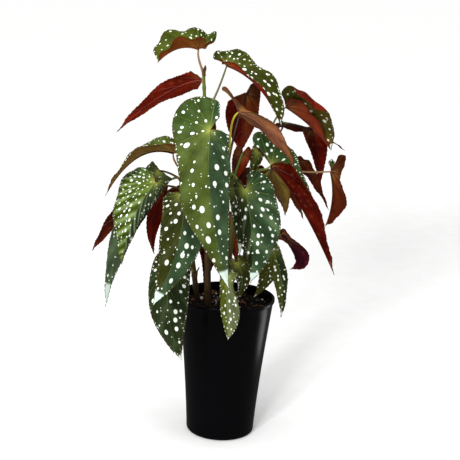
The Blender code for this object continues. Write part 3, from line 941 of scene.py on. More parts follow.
def pack_marks(values: dict, shape: tuple) -> dict:
    """Packs the marks of a blade's points into attributes.

    Args:
        values: for each mark, a number or an array.
        shape: how many rows and columns of points there are.

    Returns:
        For each attribute, three numbers a point.
    """
    packed = {name: np.zeros((*shape, 3)) for name in LEAF_MARKS}
    for name, parts in LEAF_MARKS.items():
        for k, part in enumerate(parts):
            packed[name][..., k] = values[part]
    return packed


@dataclass(frozen=True)
class Leaf:
    """One leaf. The rib runs from joint through middle to tip, and face is the way the green side looks.

    Each pair gives the left and right half, seen from the green side with the tip down.

    Attributes:
        name: its node.
        cane: the cane that carries it.
        cane_height: where its stalk leaves the cane.
        joint: where the stalk meets the blade.
        middle: a point half way down the rib.
        tip: the rib's end.
        face: the way the green side looks at the joint.
        width: from rib to margin.
        lobe: how far each lobe reaches past the joint.
        fold: rise from the rib, in degrees.
        curl: further turn gained at the margin, in degrees.
        wave: height of the margin's waves.
        waves: how many waves a half has.
        lobe_bend: turn of the lobes out of the blade's plane, in degrees.
        overlap: how far a lobe crosses over the other half's.
        splay: how far a lobe turns outward.
        hook: how far a lobe's end bends back in the blade's plane, in degrees.
        shape: how each half narrows.
        stalk_rise: how steeply the stalk leaves the cane.
        green: the halves' upper colours; where a pair differs, it is partly painted sheen and painted shade.
        under: the halves' lower colours.
        spot: measure of the spots, a little more than the largest ones' radius.
        oval: length of a spot over its width.
        quilt: height of the skin between two side veins.
        sheen_and_shade: how much painted sheen pales the skin there, and how much painted shade darkens it
            over the veins.
        spotted: how strongly the spots show.
        veins: how many side veins a half has.
        white: how much of the tip is pale under a painted highlight, as a share of the rib.
        stalk_tone: colour of the stalk.
    """

    name: str
    cane: str
    cane_height: float
    joint: tuple
    middle: tuple
    tip: tuple
    face: tuple
    width: tuple
    lobe: tuple = (10.0, 8.0)
    fold: tuple = (-10.0, -10.0)
    curl: tuple = (-15.0, -15.0)
    wave: float = 1.6
    waves: float = 5.0
    lobe_bend: float = -20.0
    overlap: tuple = (0.0, 0.0)
    splay: tuple = (0.0, 0.0)
    hook: tuple = (0.0, 0.0)
    shape: tuple = both(Shape.WING)
    stalk_rise: float = 0.35
    green: tuple = (Green.MOSS, Green.FERN)
    under: tuple = (Under.CRIMSON, Under.MAROON)
    spot: float = 3.0
    oval: float = 1.4
    quilt: float = 0.5
    sheen_and_shade: float = 0.1
    spotted: float = 1.0
    veins: int = 9
    white: float = 0.10
    stalk_tone: StalkTone = StalkTone.GREEN

    def outline(self, side: int, length: float) -> np.ndarray:
        """Margin of half a blade, from sinus to tip.

        Args:
            side: 0 for the left half, 1 for the right.
            length: of the rib.

        Returns:
            Twelve rows of along and across, as shares of the rib and of the half's width.
        """
        back = self.lobe[side] / length
        lap = self.overlap[side]
        spread = self.splay[side] * length / self.width[side]
        if back >= 0:
            foot = ((-0.35 * back, 0.10 - 0.70 * lap), (-0.80 * back, 0.22 - 0.80 * lap),
                    (-1.00 * back, 0.45 - 0.30 * lap), (-0.80 * back, 0.78), (-0.30 * back, 0.96))
        else:
            foot = ((-0.08 * back, 0.10), (-0.22 * back, 0.28), (-0.42 * back, 0.48), (-0.66 * back, 0.70),
                    (-0.90 * back, 0.90))
        foot = [(along, across + spread * max(0, -along)) for along, across in foot]
        first = max(STATIONS[0], -1.2 * back)
        sides = [(first + (at - STATIONS[0]) * (1 - first) / (1 - STATIONS[0]), across)
                 for at, across in zip(STATIONS, self.shape[side].value)]
        return np.array((*foot, *sides, (0.96, 0.05), (1.00, 0.00)))

    def rib(self, share: np.ndarray) -> tuple:
        """Reads the rib.

        Args:
            share: where to read it, as shares of its run from joint to tip.

        Returns:
            Its points, its tangents and its normals on the green side.
        """
        joint, middle, tip = (np.array(p, float) for p in (self.joint, self.middle, self.tip))
        control = 2 * middle - (joint + tip) / 2
        t = np.clip(share, 0, 1)[..., None]
        point = (1 - t) ** 2 * joint + 2 * t * (1 - t) * control + t**2 * tip
        tangent = unit(2 * (1 - t) * (control - joint) + 2 * t * (tip - control))
        face = np.array(self.face, float)
        return point, tangent, unit(face - np.sum(face * tangent, -1, keepdims=True) * tangent)

    def rib_length(self) -> float:
        """Length of the rib, joint to tip, in millimetres."""
        points = self.rib(np.linspace(0, 1, 33))[0]
        return float(np.linalg.norm(np.diff(points, axis=0), axis=1).sum())

    def bend(self, along: np.ndarray, across: np.ndarray, side: int, length: float,
             lift: np.ndarray) -> np.ndarray:
        """Bends flat places on half a blade to their places in space.

        Args:
            along: shares of the rib.
            across: shares of the half's width.
            side: 0 for the left half, 1 for the right.
            length: of the rib.
            lift: rise from the bent surface towards the green side, in millimetres.

        Returns:
            A point for each place.
        """
        point, tangent, normal = self.rib(along)
        outward = np.cross(normal, tangent) * (1 if side else -1)
        fold = math.radians(self.fold[side])
        curl = math.radians(self.curl[side]) or 1e-6
        radius = self.width[side] / curl
        level = radius * (np.sin(fold + curl * across) - math.sin(fold))
        height = -radius * (np.cos(fold + curl * across) - math.cos(fold)) + lift
        past = np.maximum(0, -along) * length
        share = past / max(self.lobe[side], 1.0)
        turn = math.radians(self.hook[side]) * share**2
        past, level = past * np.cos(turn) + level * np.sin(turn), level * np.cos(turn) - past * np.sin(turn)
        turn = math.radians(self.lobe_bend) * share / 2
        back, rise = past * np.cos(turn), past * np.sin(turn) + height
        return point - tangent * back[..., None] + outward * level[..., None] + normal * rise[..., None]

    def ripple(self, side: int, row: np.ndarray, q: np.ndarray, rib_at: np.ndarray) -> np.ndarray:
        """Finds the height of the margin's waves.

        Args:
            side: 0 for the left half, 1 for the right.
            row: rows, as shares from sinus to tip.
            q: columns, as shares from rib to margin.
            rib_at: where on the rib each row starts, as a share of it.

        Returns:
            A height for each point, in millimetres.
        """
        swing = np.sin(2 * math.pi * self.waves * row + side * 1.3)
        return self.wave * swing[:, None] * q**2 * np.minimum(1, 4 * (1 - rib_at))[:, None]

    def half_points(self, side: int, rows: int, columns: int) -> np.ndarray:
        """Points of one half as the part's source makes them, for fitting the stalk.

        Args:
            side: 0 for the left half, 1 for the right.
            rows: points along the margin.
            columns: steps from rib to margin.

        Returns:
            Rows by columns of points.
        """
        length = self.rib_length()
        margin = self.outline(side, length)
        station = np.linspace(0, len(margin) - 1, rows)
        index = np.minimum(station.astype(int), len(margin) - 2)
        part = (station - index)[:, None]
        edge = margin[index] * (1 - part) + margin[index + 1] * part
        rib_at = np.maximum(0, edge[:, 0] - VEIN_SLANT * edge[:, 1])
        q = np.linspace(0, 1, columns + 1)
        along = rib_at[:, None] + (edge[:, 0] - rib_at)[:, None] * q
        lift = self.ripple(side, np.linspace(0, 1, rows), q, rib_at)
        return self.bend(along, edge[:, 1][:, None] * q, side, length, lift)

    def stalk(self, root: np.ndarray) -> tuple:
        """Finds the stalk's way from the cane to the blade, leaning until it clears the lobes.

        Args:
            root: the point on the cane's centre line that it starts from.

        Returns:
            Points on its centre line, and a radius for each.
        """
        joint, tangent, normal = (v[0] for v in self.rib(np.zeros(1)))
        across = np.cross(normal, tangent)
        blade = np.vstack([self.half_points(side, 34, 8).reshape(-1, 3) for side in (0, 1)])
        near_end = 1 - STALK_TAPER / np.linalg.norm(joint - root)
        trial = np.append(np.linspace(0.3, near_end, 30), 1)
        radii = np.interp(trial, (0, near_end, 1), (STALK_FOOT_RADIUS, STALK_TIP_RADIUS, STALK_END_RADIUS))
        enough = 1.1 * GAP

        # The same search as in the part's source, so that the stalk takes the same way
        best = (-math.inf, None)
        for along, aside in STALK_LEANS:
            lean = unit(normal + along * tangent + aside * across)
            for clear in np.arange(0.9, 2.6, 0.1):
                end = joint - normal * clear
                line = self.stalk_line(root, end, lean, trial)
                apart = np.linalg.norm(line[:, None] - blade[None], axis=2).min(axis=1)
                room = (apart - radii - BLADE_THICKNESS / 2).min()
                if room > best[0]:
                    best = (room, (end, lean))
                if room > enough:
                    break
            if best[0] > enough:
                break

        # The foot is a little swollen, and the end reaches into the blade's underside
        t = np.linspace(0, 1, 30)
        line = np.vstack([self.stalk_line(root, *best[1], t), joint - normal * 0.1])
        foot = STALK_FOOT_RADIUS
        radii = np.interp(t, (0, 0.06, 0.15, near_end - 0.1, 1),
                          (foot + 0.5, foot + 0.3, foot - 0.1, STALK_TIP_RADIUS, 1.0))
        return line, np.append(radii, 0.9)

    def stalk_line(self, root: np.ndarray, end: np.ndarray, lean: np.ndarray, t: np.ndarray) -> np.ndarray:
        """Finds a curve that leaves the cane upward and comes to its end from the side of lean.

        Args:
            root: its first point.
            end: its last point.
            lean: the way back from its end, of length 1.
            t: where to read it, from 0 to 1.

        Returns:
            A point for each t.
        """
        reach = np.linalg.norm(end - root)
        outward = unit((end - root) * (1, 1, 0) + (0, 0, 1e-6))
        first = root + reach * (self.stalk_rise * np.array((0, 0, 1)) + 0.15 * outward)
        second = end - 0.3 * reach * lean
        t = t[:, None]
        return (1 - t) ** 3 * root + 3 * t * (1 - t) ** 2 * first + 3 * t**2 * (1 - t) * second + t**3 * end

    def edge(self, side: int, row: np.ndarray, length: float) -> np.ndarray:
        """Finds the smooth margin of a half.

        Args:
            side: 0 for the left half, 1 for the right.
            row: rows, as shares from sinus to tip.
            length: of the rib.

        Returns:
            For each row, along and across, as shares of the rib and of the half's width.
        """
        margin = self.outline(side, length)
        smooth = through(margin, row * (len(margin) - 1))
        smooth[:, 1] = np.where(row > 0.9, np.maximum(smooth[:, 1], 0), smooth[:, 1])
        return smooth

    def half(self, side: int, row: np.ndarray, q: np.ndarray, length: float) -> tuple:
        """Finds the fine surface of one half.

        Args:
            side: 0 for the left half, 1 for the right.
            row: rows, as shares from sinus to tip.
            q: columns, as shares from rib to margin.
            length: of the rib.

        Returns:
            Its points, and the marks that the skin's pattern reads.
        """
        width = self.width[side]
        edges = [self.edge(k, row, length) for k in (0, 1)]
        rib_at = np.mean([np.maximum(0, e[:, 0] - FINE_SLANT * e[:, 1]) for e in edges], axis=0)
        edge = edges[side]
        run = np.append(0, np.cumsum(np.hypot(np.diff(edge[:, 0]) * length, np.diff(edge[:, 1]) * width)))

        # Teeth of uneven width, which die out at the sinus and at the tip
        tooth = TOOTH * (np.abs(2 * ((run / TOOTH_STEP + 0.3 * np.sin(run / 7)) % 1) - 1) - 0.5)
        tooth = tooth * smoothstep(0.02, 0.1, row) * smoothstep(1.0, 0.93, row)
        across = (edge[:, 1] + tooth / width)[:, None] * q
        along = rib_at[:, None] + (edge[:, 0] - rib_at)[:, None] * q
        reach = np.hypot((along - rib_at[:, None]) * length, across * width)
        gap = reach[:, -1:] - reach
        knot = np.hypot(along * length, across * width)

        # The skin arches between two side veins, by their distance, and the margin frills
        vein = self.veins * row
        sector = np.hypot(np.gradient(along * length, axis=0), np.gradient(across * width, axis=0))
        sector = sector / np.gradient(vein)[:, None]
        arch = np.abs(np.sin(math.pi * vein))[:, None] ** 0.7 - 0.35
        quilt = self.quilt * arch * smoothstep(1, 12, reach) * smoothstep(0, 5, gap) * sector / (sector + 6)
        frill = FRILL * np.sin(run / 2.1 + side)[:, None] * q**8 * smoothstep(0.0, 0.1, 1 - row)[:, None]
        points = self.bend(along, across, side, length, self.ripple(side, row, q, rib_at) + quilt + frill)

        # Spots are smaller near the margin and the joint
        size = (1 - 0.6 * smoothstep(14, 1, gap)) * (0.3 + 0.7 * smoothstep(4, 26, knot))
        # A painted highlight pales the tip, and fades out at the margin
        tip = smoothstep(1 - 1.3 * self.white, 1 - 0.5 * self.white, along)
        seed = 40.0 * (1 + sum(map(ord, self.name)) % 23)
        return points, pack_marks({
            "vein": vein[:, None] + seed, "sector": sector,
            "across": across * width * (1 if side else -1), "along": along * length, "gap": gap,
            "largest": SPOT_RADIUS * self.spot * size, "step": SPOT_STEP * self.spot,
            "long": 1 - 1 / self.oval, "share": self.spotted,
            "run": run[:, None] + seed, "pale": tip * smoothstep(0.3, 1.6, gap),
            # The quilt mark sets the painted sheen between the veins, and the mark after it the painted shade
            # over them
            "quilt": self.sheen_and_shade * smoothstep(8, 45, knot), "sink": self.sheen_and_shade + PAINTED_FURROW_SHADE, "seed": seed,
        }, reach.shape)

    def rows(self, length: float) -> np.ndarray:
        """Spreads rows so that they are about ROW_STEP apart along the margins.

        Args:
            length: of the rib.

        Returns:
            The rows, as shares from sinus to tip.
        """
        fine = np.linspace(0, 1, 600)
        steps = np.zeros(len(fine) - 1)
        for side in (0, 1):
            edge = self.edge(side, fine, length)
            steps += np.hypot(np.diff(edge[:, 0]) * length, np.diff(edge[:, 1]) * self.width[side]) / 2
        run = np.append(0, np.cumsum(steps + steps.mean() * 0.15))
        count = int(np.clip(run[-1] / ROW_STEP, *ROW_LIMITS))
        return np.interp(np.linspace(0, run[-1], count + 1), run, fine)

    def tones(self, place: np.ndarray, colours: tuple, knot: str) -> np.ndarray:
        """Colours each point: the half's colour, with painted shade on the lobes, turning to the joint's pale
        knot.

        Args:
            place: the place mark of each point.
            colours: the left and right half's colours.
            knot: the knot's colour.

        Returns:
            Linear red, green and blue for each point.
        """
        left, right, pale = (mesh_tone(c) for c in (colours[0].value, colours[1].value, knot))
        side = smoothstep(-1.5, 1.5, place[..., 0])[..., None]
        near = np.exp(-np.hypot(place[..., 0], place[..., 1]) / 5.0)[..., None]
        mixed = left + (right - left) * side
        # Painted shade darkens the lobes near the joint
        mixed = mixed * (1 - (1 - np.array(LOBE_SHADE)) * smoothstep(24, -6, place[..., 1])[..., None])
        return mixed + (pale - mixed) * near * 0.8

    def add_veins(self, kit: MeshKit, length: float) -> None:
        """Adds the raised rib and side veins under the blade.

        Args:
            kit: the mesh to add them to.
            length: of the rib.
        """
        t = np.linspace(0, 0.97, 26)
        point, _, normal = self.rib(t)
        radii = RIB_RADIUS + (RIB_TIP_RADIUS - RIB_RADIUS) * t
        line = point - normal * (radii - VEIN_SUNK)[:, None]
        kit.add_tube(line, radii, 7, {"tone": mesh_tone(self.under[0].value)}, 2)
        q = np.linspace(0, 0.93, 12)
        radii = VEIN_RADIUS * (1 - q) ** 0.8 + VEIN_TIP_RADIUS
        for side in (0, 1):
            for k in range(1, self.veins - 1):
                row = np.array([k - 0.02, k, k + 0.02]) / self.veins
                grid = self.half(side, row, q, length)[0]
                ahead = unit(np.gradient(grid[1], axis=0))
                facing = unit(np.cross(grid[2] - grid[0], ahead) * (1 if side else -1))
                line = grid[1] - facing * (radii - VEIN_SUNK)[:, None]
                kit.add_tube(line[1:], radii[1:], 5, {"tone": mesh_tone(self.under[side].value)}, 2)

    def build(self, finishes: list) -> None:
        """Builds the blade's piece.

        Args:
            finishes: the materials of its upper side, its underside and its veins.
        """
        length = self.rib_length()
        row = self.rows(length)
        rib = int(np.clip(max(self.width) / COLUMN_STEP, *COLUMN_LIMITS))
        columns = [np.append(np.linspace(0, 1 - 0.5 / width, rib), 1) for width in self.width]
        (left, left_marks), (right, right_marks) = (self.half(k, row, columns[k], length) for k in (0, 1))
        grid = np.concatenate([left[:, :0:-1], right], axis=1)
        marks = {name: np.concatenate([rows[:, :0:-1], right_marks[name]], axis=1)
                 for name, rows in left_marks.items()}

        # Rows that start in one place on the rib share its point, and so does the whole last row
        index = np.arange(grid[..., 0].size).reshape(grid.shape[:2])
        joined = np.flatnonzero(np.linalg.norm(grid[:, rib] - grid[0, rib], axis=1) < 0.02)
        index[joined, rib] = index[0, rib]
        index[-1, :] = index[-1, rib]
        rim = np.concatenate([index[0, rib::-1], index[1:, 0], index[-2::-1, -1], index[0, -2:rib:-1]])
        sides = [{**marks, "tone": self.tones(marks["place"], colours, knot)}
                 for colours, knot in ((self.green, UPPER_KNOT), (self.under, UNDER_KNOT))]
        kit = MeshKit()
        kit.add_sheet(grid, index, rim, SHEET_THICKNESS, (0, 1), sides)
        self.add_veins(kit, length)
        settle(kit.build(self.name + "_blade", finishes), self.name)


@dataclass(frozen=True)
class Pot:
    """The pot: a tall tapered thin-walled shell with a rounded foot and drain holes.

    Attributes:
        height: from floor to rim.
        rim_radius: outside, under the lip.
        foot_radius: outside, at the floor.
        wall: thickness of the wall.
        lip: how far the lip stands out.
        lip_edge: where the lip turns in, as shares of it and depths under the rim.
        lip_depth: how far under the rim it ends.
        bead: radius of the rim's edges.
        floor: thickness of the floor.
        foot_round: radius of the foot's edge.
        sides: how many sides the turned shell has.
        drain_holes: how many holes the floor has.
        drain_radius: their radius.
        drain_ring: radius of the ring that they lie on.
        drain_sides: how many sides a hole has.
        flare: how much the wall curves outward, where 1 is straight.
    """

    height: float = 188.0
    rim_radius: float = 62.5
    foot_radius: float = 45.0
    wall: float = 2.0
    lip: float = 1.2
    lip_edge: tuple = ((1.0, 3.6), (0.8, 4.3))
    lip_depth: float = 5.5
    bead: float = 0.8
    floor: float = 3.0
    foot_round: float = 5.0
    sides: int = 144
    drain_holes: int = 6
    drain_radius: float = 4.0
    drain_ring: float = 28.0
    drain_sides: int = 32
    flare: float = 1.3

    def radius(self, height: float) -> float:
        """Outer radius of the wall at a height."""
        return self.foot_radius + (self.rim_radius - self.foot_radius) * (height / self.height) ** self.flare

    def profile(self) -> list:
        """Finds the shell's half section.

        Returns:
            Radius and height of its points, from the inside of the floor round to its underside.
        """
        inner, outer = self.rim_radius - self.wall, self.rim_radius + self.lip
        top, bead = self.height - self.bead, self.bead
        turns = np.linspace(0, math.pi / 2, 5)
        walls = np.linspace(0.9, 0.1, 9) * self.height
        return [
            (0, self.floor),
            (self.radius(self.floor) - self.wall - 1, self.floor),
            (self.radius(self.floor + 2) - self.wall, self.floor + 2),
            *((self.radius(z) - self.wall, z) for z in walls[::-1]),
            *((inner + bead * (1 - math.cos(a)), top + bead * math.sin(a)) for a in turns),
            *((outer - bead * (1 - math.sin(a)), top + bead * math.cos(a)) for a in turns),
            *((self.rim_radius + self.lip * share, self.height - depth) for share, depth in self.lip_edge),
            (self.radius(self.height - self.lip_depth), self.height - self.lip_depth),
            *((self.radius(z), z) for z in walls),
            *((self.foot_radius - self.foot_round * (1 - math.sin(a)), self.foot_round * (1 - math.cos(a)))
              for a in np.linspace(math.pi / 2, 0, 10)),
            (0, 0),
        ]

    def build(self, finish: bpy.types.Material) -> bpy.types.Object:
        """Builds the pot's piece and drills its floor.

        Args:
            finish: its material.

        Returns:
            The piece.
        """
        profile = self.profile()
        # The rings turn clockwise from above, because the profile ends at the underside
        ring = circle(self.sides) * (1, -1)
        rings = [np.column_stack([radius * ring, np.full(self.sides, z)]) for radius, z in profile[1:-1]]
        shell = MeshKit()
        shell.add_rings(rings, [(0, 0, profile[0][1]), (0, 0, profile[-1][1])])
        pot = shell.build("pot_shell", [finish])
        drills = MeshKit()
        for x, y in self.drain_ring * circle(self.drain_holes):
            line = np.array([(x, y, z) for z in (-2.0, self.floor + 2)])
            drills.add_tube(line, np.full(2, self.drain_radius), self.drain_sides)
        drill = drills.build("drain_drills", [])
        cut = pot.modifiers.new("drill", "BOOLEAN")
        cut.operation = "DIFFERENCE"
        cut.solver = "EXACT"
        cut.object = drill
        bpy.context.view_layer.update()
        pot.data = bpy.data.meshes.new_from_object(pot.evaluated_get(bpy.context.evaluated_depsgraph_get()))
        pot.modifiers.clear()
        bpy.data.objects.remove(drill)
        pot.modifiers.new("edges", "WEIGHTED_NORMAL").keep_sharp = True
        settle(pot, "pot")
        return pot


def ball_mesh() -> tuple:
    """Makes a ball of radius 1 with 20 sides.

    Returns:
        Its points and its faces.
    """
    ratio = (1 + math.sqrt(5)) / 2
    points = np.array([(s, t * ratio, 0) for s in (-1, 1) for t in (-1, 1)])
    points = unit(np.vstack([points, np.roll(points, 1, axis=1), np.roll(points, 2, axis=1)]))
    near = np.linalg.norm(points[:, None] - points[None], axis=2) < 1.2
    faces = []
    for a, b, c in combinations(range(len(points)), 3):
        if near[a, b] and near[b, c] and near[a, c]:
            outward = np.dot(np.cross(points[b] - points[a], points[c] - points[a]), points[a]) > 0
            faces.append((a, b, c) if outward else (a, c, b))
    return points, faces


@dataclass(frozen=True)
class Bits:
    """One kind of loose bits on the potting mix.

    Attributes:
        slot: the number of their material.
        count: how many lie on it.
        smallest: radius of the smallest.
        largest: radius of the largest.
        stretch: how much they are stretched along their three axes.
        tilt: how far they lean at most, as a share of half a turn.
    """

    slot: int
    count: int
    smallest: float
    largest: float
    stretch: tuple
    tilt: float = 1.0


@dataclass(frozen=True)
class Soil:
    """The potting mix: a rough dome with crumbs, bark chips and white perlite on it.

    Attributes:
        top: height of the dome's rim.
        dome: how much its middle is higher.
        radius: of the dome.
        foot: height of its underside.
        foot_radius: radius of its underside.
        sides: how many sides the dome has.
        rings: how many rings of faces it has.
        bits: the crumbs, the bark chips and the perlite, whose materials are 0, 1 and 2.
        scatter: how far out the bits lie, as a share of the radius.
        roughness: how much a bit's points stray in and out, as a share of its size.
        rise: how far a bit's middle lies over the bed, as a share of its size.
        seed: of the random draws.
    """

    top: float = 176.0
    dome: float = 4.0
    radius: float = 59.0
    foot: float = 3.3
    foot_radius: float = 41.9
    sides: int = 120
    rings: int = 44
    bits: tuple = (Bits(0, 1500, 0.5, 1.7, (1, 1, 1)), Bits(1, 90, 1.4, 3.4, (1.5, 0.8, 0.4), 0.25),
                   Bits(2, 42, 0.7, 2.2, (1, 1, 0.9)))
    scatter: float = 0.97
    roughness: float = 0.28
    rise: float = 0.25
    seed: int = 4

    def height(self, x: np.ndarray, y: np.ndarray) -> np.ndarray:
        """Finds the height of the dome, with its lumps.

        Args:
            x: to the right of the pot's axis.
            y: behind it.

        Returns:
            A height for each place.
        """
        r = np.hypot(x, y) / self.radius
        lumps = 0.9 * np.sin(x / 4.1 + 1.2) * np.sin(y / 3.6)
        lumps = lumps + 0.6 * np.sin(x / 1.9 + y / 2.7) * np.sin(y / 2.2 - x / 3.1)
        return self.top - 1.2 + self.dome * (1 - r**2) + lumps * (1 - r**6)

    def add_bed(self, kit: MeshKit) -> None:
        """Adds the bed, closed underneath.

        Args:
            kit: the mesh to add it to.
        """
        # The rings turn clockwise from above, because the last one is the underside
        ring = circle(self.sides) * (1, -1)
        rings = []
        for k in range(1, self.rings + 1):
            x, y = self.radius * k / self.rings * ring.T
            rings.append(np.stack([x, y, self.height(x, y)], 1))
        rings.append(np.column_stack([self.foot_radius * ring, np.full(self.sides, self.foot)]))
        kit.add_rings(rings, [(0, 0, float(self.height(0, 0))), (0, 0, self.foot)])

    def add_bits(self, kit: MeshKit, bits: Bits, random: np.random.RandomState) -> None:
        """Scatters lumpy bits on the bed.

        Args:
            kit: the mesh to add them to.
            bits: their kind.
            random: the source of the draws.
        """
        ball, faces = ball_mesh()
        for _ in range(bits.count):
            r = self.radius * self.scatter * math.sqrt(random.rand())
            turn = random.rand() * 2 * math.pi
            x, y = r * math.cos(turn), r * math.sin(turn)
            size = bits.smallest + (bits.largest - bits.smallest) * random.rand() ** 2
            lumps = 1 + self.roughness * random.randn(len(ball), 1)
            lumpy = ball * lumps * size * np.array(bits.stretch)
            axis = Vector(random.randn(3)).normalized()
            lean = Matrix.Rotation(random.rand() * math.pi * bits.tilt, 3, axis)
            spin = np.array(lean) @ np.array(Matrix.Rotation(random.rand() * 2 * math.pi, 3, "Z"))
            z = float(self.height(x, y)) + size * self.rise
            kit.add(lumpy @ spin.T + (x, y, z), faces, bits.slot)

    def build(self, finishes: list) -> None:
        """Builds the soil's piece.

        Args:
            finishes: the materials of the mix, the bark and the perlite.
        """
        kit = MeshKit()
        random = np.random.RandomState(self.seed)
        self.add_bed(kit)
        for bits in self.bits:
            self.add_bits(kit, bits, random)
        soil = kit.build("soil_bed", finishes)
        soil.data.shade_flat()
        settle(soil, "soil")


def toward(azimuth: float, elevation: float) -> Vector:
    """Finds a direction from the plant.

    Args:
        azimuth: 0 towards the camera and 90 to the plant's right, in degrees.
        elevation: over the horizon, in degrees.

    Returns:
        A vector of length 1.
    """
    a, e = math.radians(azimuth), math.radians(elevation)
    return Vector((math.sin(a) * math.cos(e), -math.cos(a) * math.cos(e), math.sin(e)))


def looking(place: Vector, aim: Vector) -> Matrix:
    """Finds the matrix of a camera or light.

    Args:
        place: where it stands.
        aim: the point that it faces.

    Returns:
        Its matrix.
    """
    return Matrix.Translation(place) @ (aim - place).to_track_quat("-Z", "Y").to_matrix().to_4x4()


def add_light(name: str, kind: str, place: Vector, aim: Vector, power: float,
              **settings: float | str) -> bpy.types.Object:
    """Adds a light.

    Args:
        name: its name.
        kind: SUN or AREA.
        place: where it stands.
        aim: the point that it faces.
        power: in watts, or for a sun in watts per square metre.
        settings: its own properties.

    Returns:
        The light.
    """
    lamp = bpy.data.lights.new(name, kind)
    lamp.energy = power
    for setting, value in settings.items():
        setattr(lamp, setting, value)
    made = bpy.data.objects.new(name, lamp)
    made.matrix_world = looking(place, aim)
    bpy.context.scene.collection.objects.link(made)
    return made


def light_only(light: bpy.types.Object, piece: bpy.types.Object, alone: bool = True) -> None:
    """Makes a light fall on one piece alone, or on all but that piece.

    Args:
        light: the light.
        piece: the piece.
        alone: True for the piece alone, False for all others.
    """
    lit = bpy.data.collections.new(light.name + "_lit")
    lit.objects.link(piece)
    light.light_linking.receiver_collection = lit
    lit.collection_objects[0].light_linking.link_state = "INCLUDE" if alone else "EXCLUDE"


@dataclass(frozen=True)
class Window:
    """A large far window.

    Attributes:
        name: its name.
        azimuth: 0 beside the camera and 90 at the plant's right, in degrees.
        elevation: over the horizon, in degrees.
        spread: its width as the plant sees it, in degrees.
        strength: in watts per square metre.
        on_floor: True if it lights the floor alone, False if it lights all else.
    """

    name: str
    azimuth: float
    elevation: float
    spread: float
    strength: float
    on_floor: bool


@dataclass(frozen=True)
class Studio:
    """A white sweep of floor, windows, a soft box, a strip light and the camera, in metres.

    Attributes:
        aim: the point that the camera looks at.
        distance: from camera to aim.
        elevation: of the camera over the horizon, in degrees.
        roll: of the camera, in degrees.
        lens: focal length, in millimetres.
        sensor: width of the camera's sensor, in millimetres.
        fill: light of the white surroundings, where 1 is how bright they look.
        mirrored: how bright they are in reflections.
        reach: from the middle of the floor to its edges, in millimetres.
        windows: the windows.
        softbox_side: azimuth and elevation of the soft box over the plant, in degrees.
        softbox_distance: from aim to it.
        softbox_size: its width and height.
        softbox_power: in watts.
        strip_place: where the low strip light stands, whose reflection runs down the right of the pot.
        strip_aim: the point that it faces.
        strip_size: its width and height.
        strip_power: in watts.
    """

    aim: tuple = (0.0, 0.0, 0.277)
    distance: float = 1.66
    elevation: float = 14.5
    roll: float = 3.04
    lens: float = 100.0
    sensor: float = 36.0
    fill: float = 0.86
    mirrored: float = 0.08
    reach: float = 30000.0
    windows: tuple = (Window("window", -50, 42, 16, 1.9, False),
                      Window("floor_window", -15, 18, 8, 2.0, True),
                      Window("low_window", -25, 14, 8, 2.7, True))
    softbox_side: tuple = (-20, 70)
    softbox_distance: float = 1.2
    softbox_size: float = 0.8
    softbox_power: float = 7.0
    strip_place: tuple = (0.27, 0.085, 0.07)
    strip_aim: tuple = (0.0, 0.0, 0.09)
    strip_size: tuple = (0.1, 0.14)
    strip_power: float = 0.07

    def camera(self) -> None:
        """Makes the scene's camera."""
        aim = Vector(self.aim)
        made = bpy.data.objects.new("camera", bpy.data.cameras.new("camera"))
        made.data.lens = self.lens
        made.data.sensor_width = self.sensor
        roll = Matrix.Rotation(math.radians(self.roll), 4, "Z")
        made.matrix_world = looking(aim + toward(0, self.elevation) * self.distance, aim) @ roll
        bpy.context.scene.collection.objects.link(made)
        bpy.context.scene.camera = made

    def surroundings(self) -> None:
        """Makes the world: white to the eye, a little dimmer as light, and dark in reflections."""
        world = bpy.data.worlds.new("studio")
        bpy.context.scene.world = world
        world.use_nodes = True
        add = partial(add_node, world.node_tree)
        path = add("LightPath")
        seen = add("MapRange", (path.outputs["Is Camera Ray"], 0.0, 1.0, self.fill, 1.0))
        strength = add("Mix", {0: path.outputs["Is Glossy Ray"], 2: seen, 3: self.mirrored})
        feed(world.node_tree.nodes["Background"], {"Color": (1, 1, 1, 1), "Strength": strength})

    def floor(self) -> bpy.types.Object:
        """Makes the floor, a sweep of matte white paper that is a little uneven in tone.

        Returns:
            The floor.
        """
        kit = MeshKit()
        corners = np.array([(-1, -1, 0), (1, -1, 0), (1, 1, 0), (-1, 1, 0)]) * self.reach
        kit.add(corners, [(0, 1, 2, 3)])
        paper = Grainy(name="white_paper_sweep", roughness=0.9, dark="#E9E9E8", light="#ECECEC", grain=40.0,
                       depth=0.02)
        sweep = kit.build("floor_sweep", [paper.make()])
        sweep.visible_glossy = False
        return sweep

    def build(self) -> None:
        """Sets the stage."""
        self.camera()
        self.surroundings()
        sweep = self.floor()
        for window in self.windows:
            sun = add_light(window.name, "SUN", toward(window.azimuth, window.elevation), Vector(),
                            window.strength, angle=math.radians(window.spread))
            light_only(sun, sweep, window.on_floor)
        aim = Vector(self.aim)
        place = aim + toward(*self.softbox_side) * self.softbox_distance
        add_light("sheen_top", "AREA", place, aim, self.softbox_power, shape="SQUARE",
                  size=self.softbox_size)
        bpy.context.scene.view_settings.view_transform = "Standard"

    def strip(self, pot: bpy.types.Object) -> None:
        """Adds the strip light.

        Args:
            pot: the only piece that it lights.
        """
        width, height = self.strip_size
        made = add_light("pot_strip", "AREA", Vector(self.strip_place), Vector(self.strip_aim),
                         self.strip_power, shape="RECTANGLE", size=width, size_y=height)
        made.visible_camera = False
        light_only(made, pot)


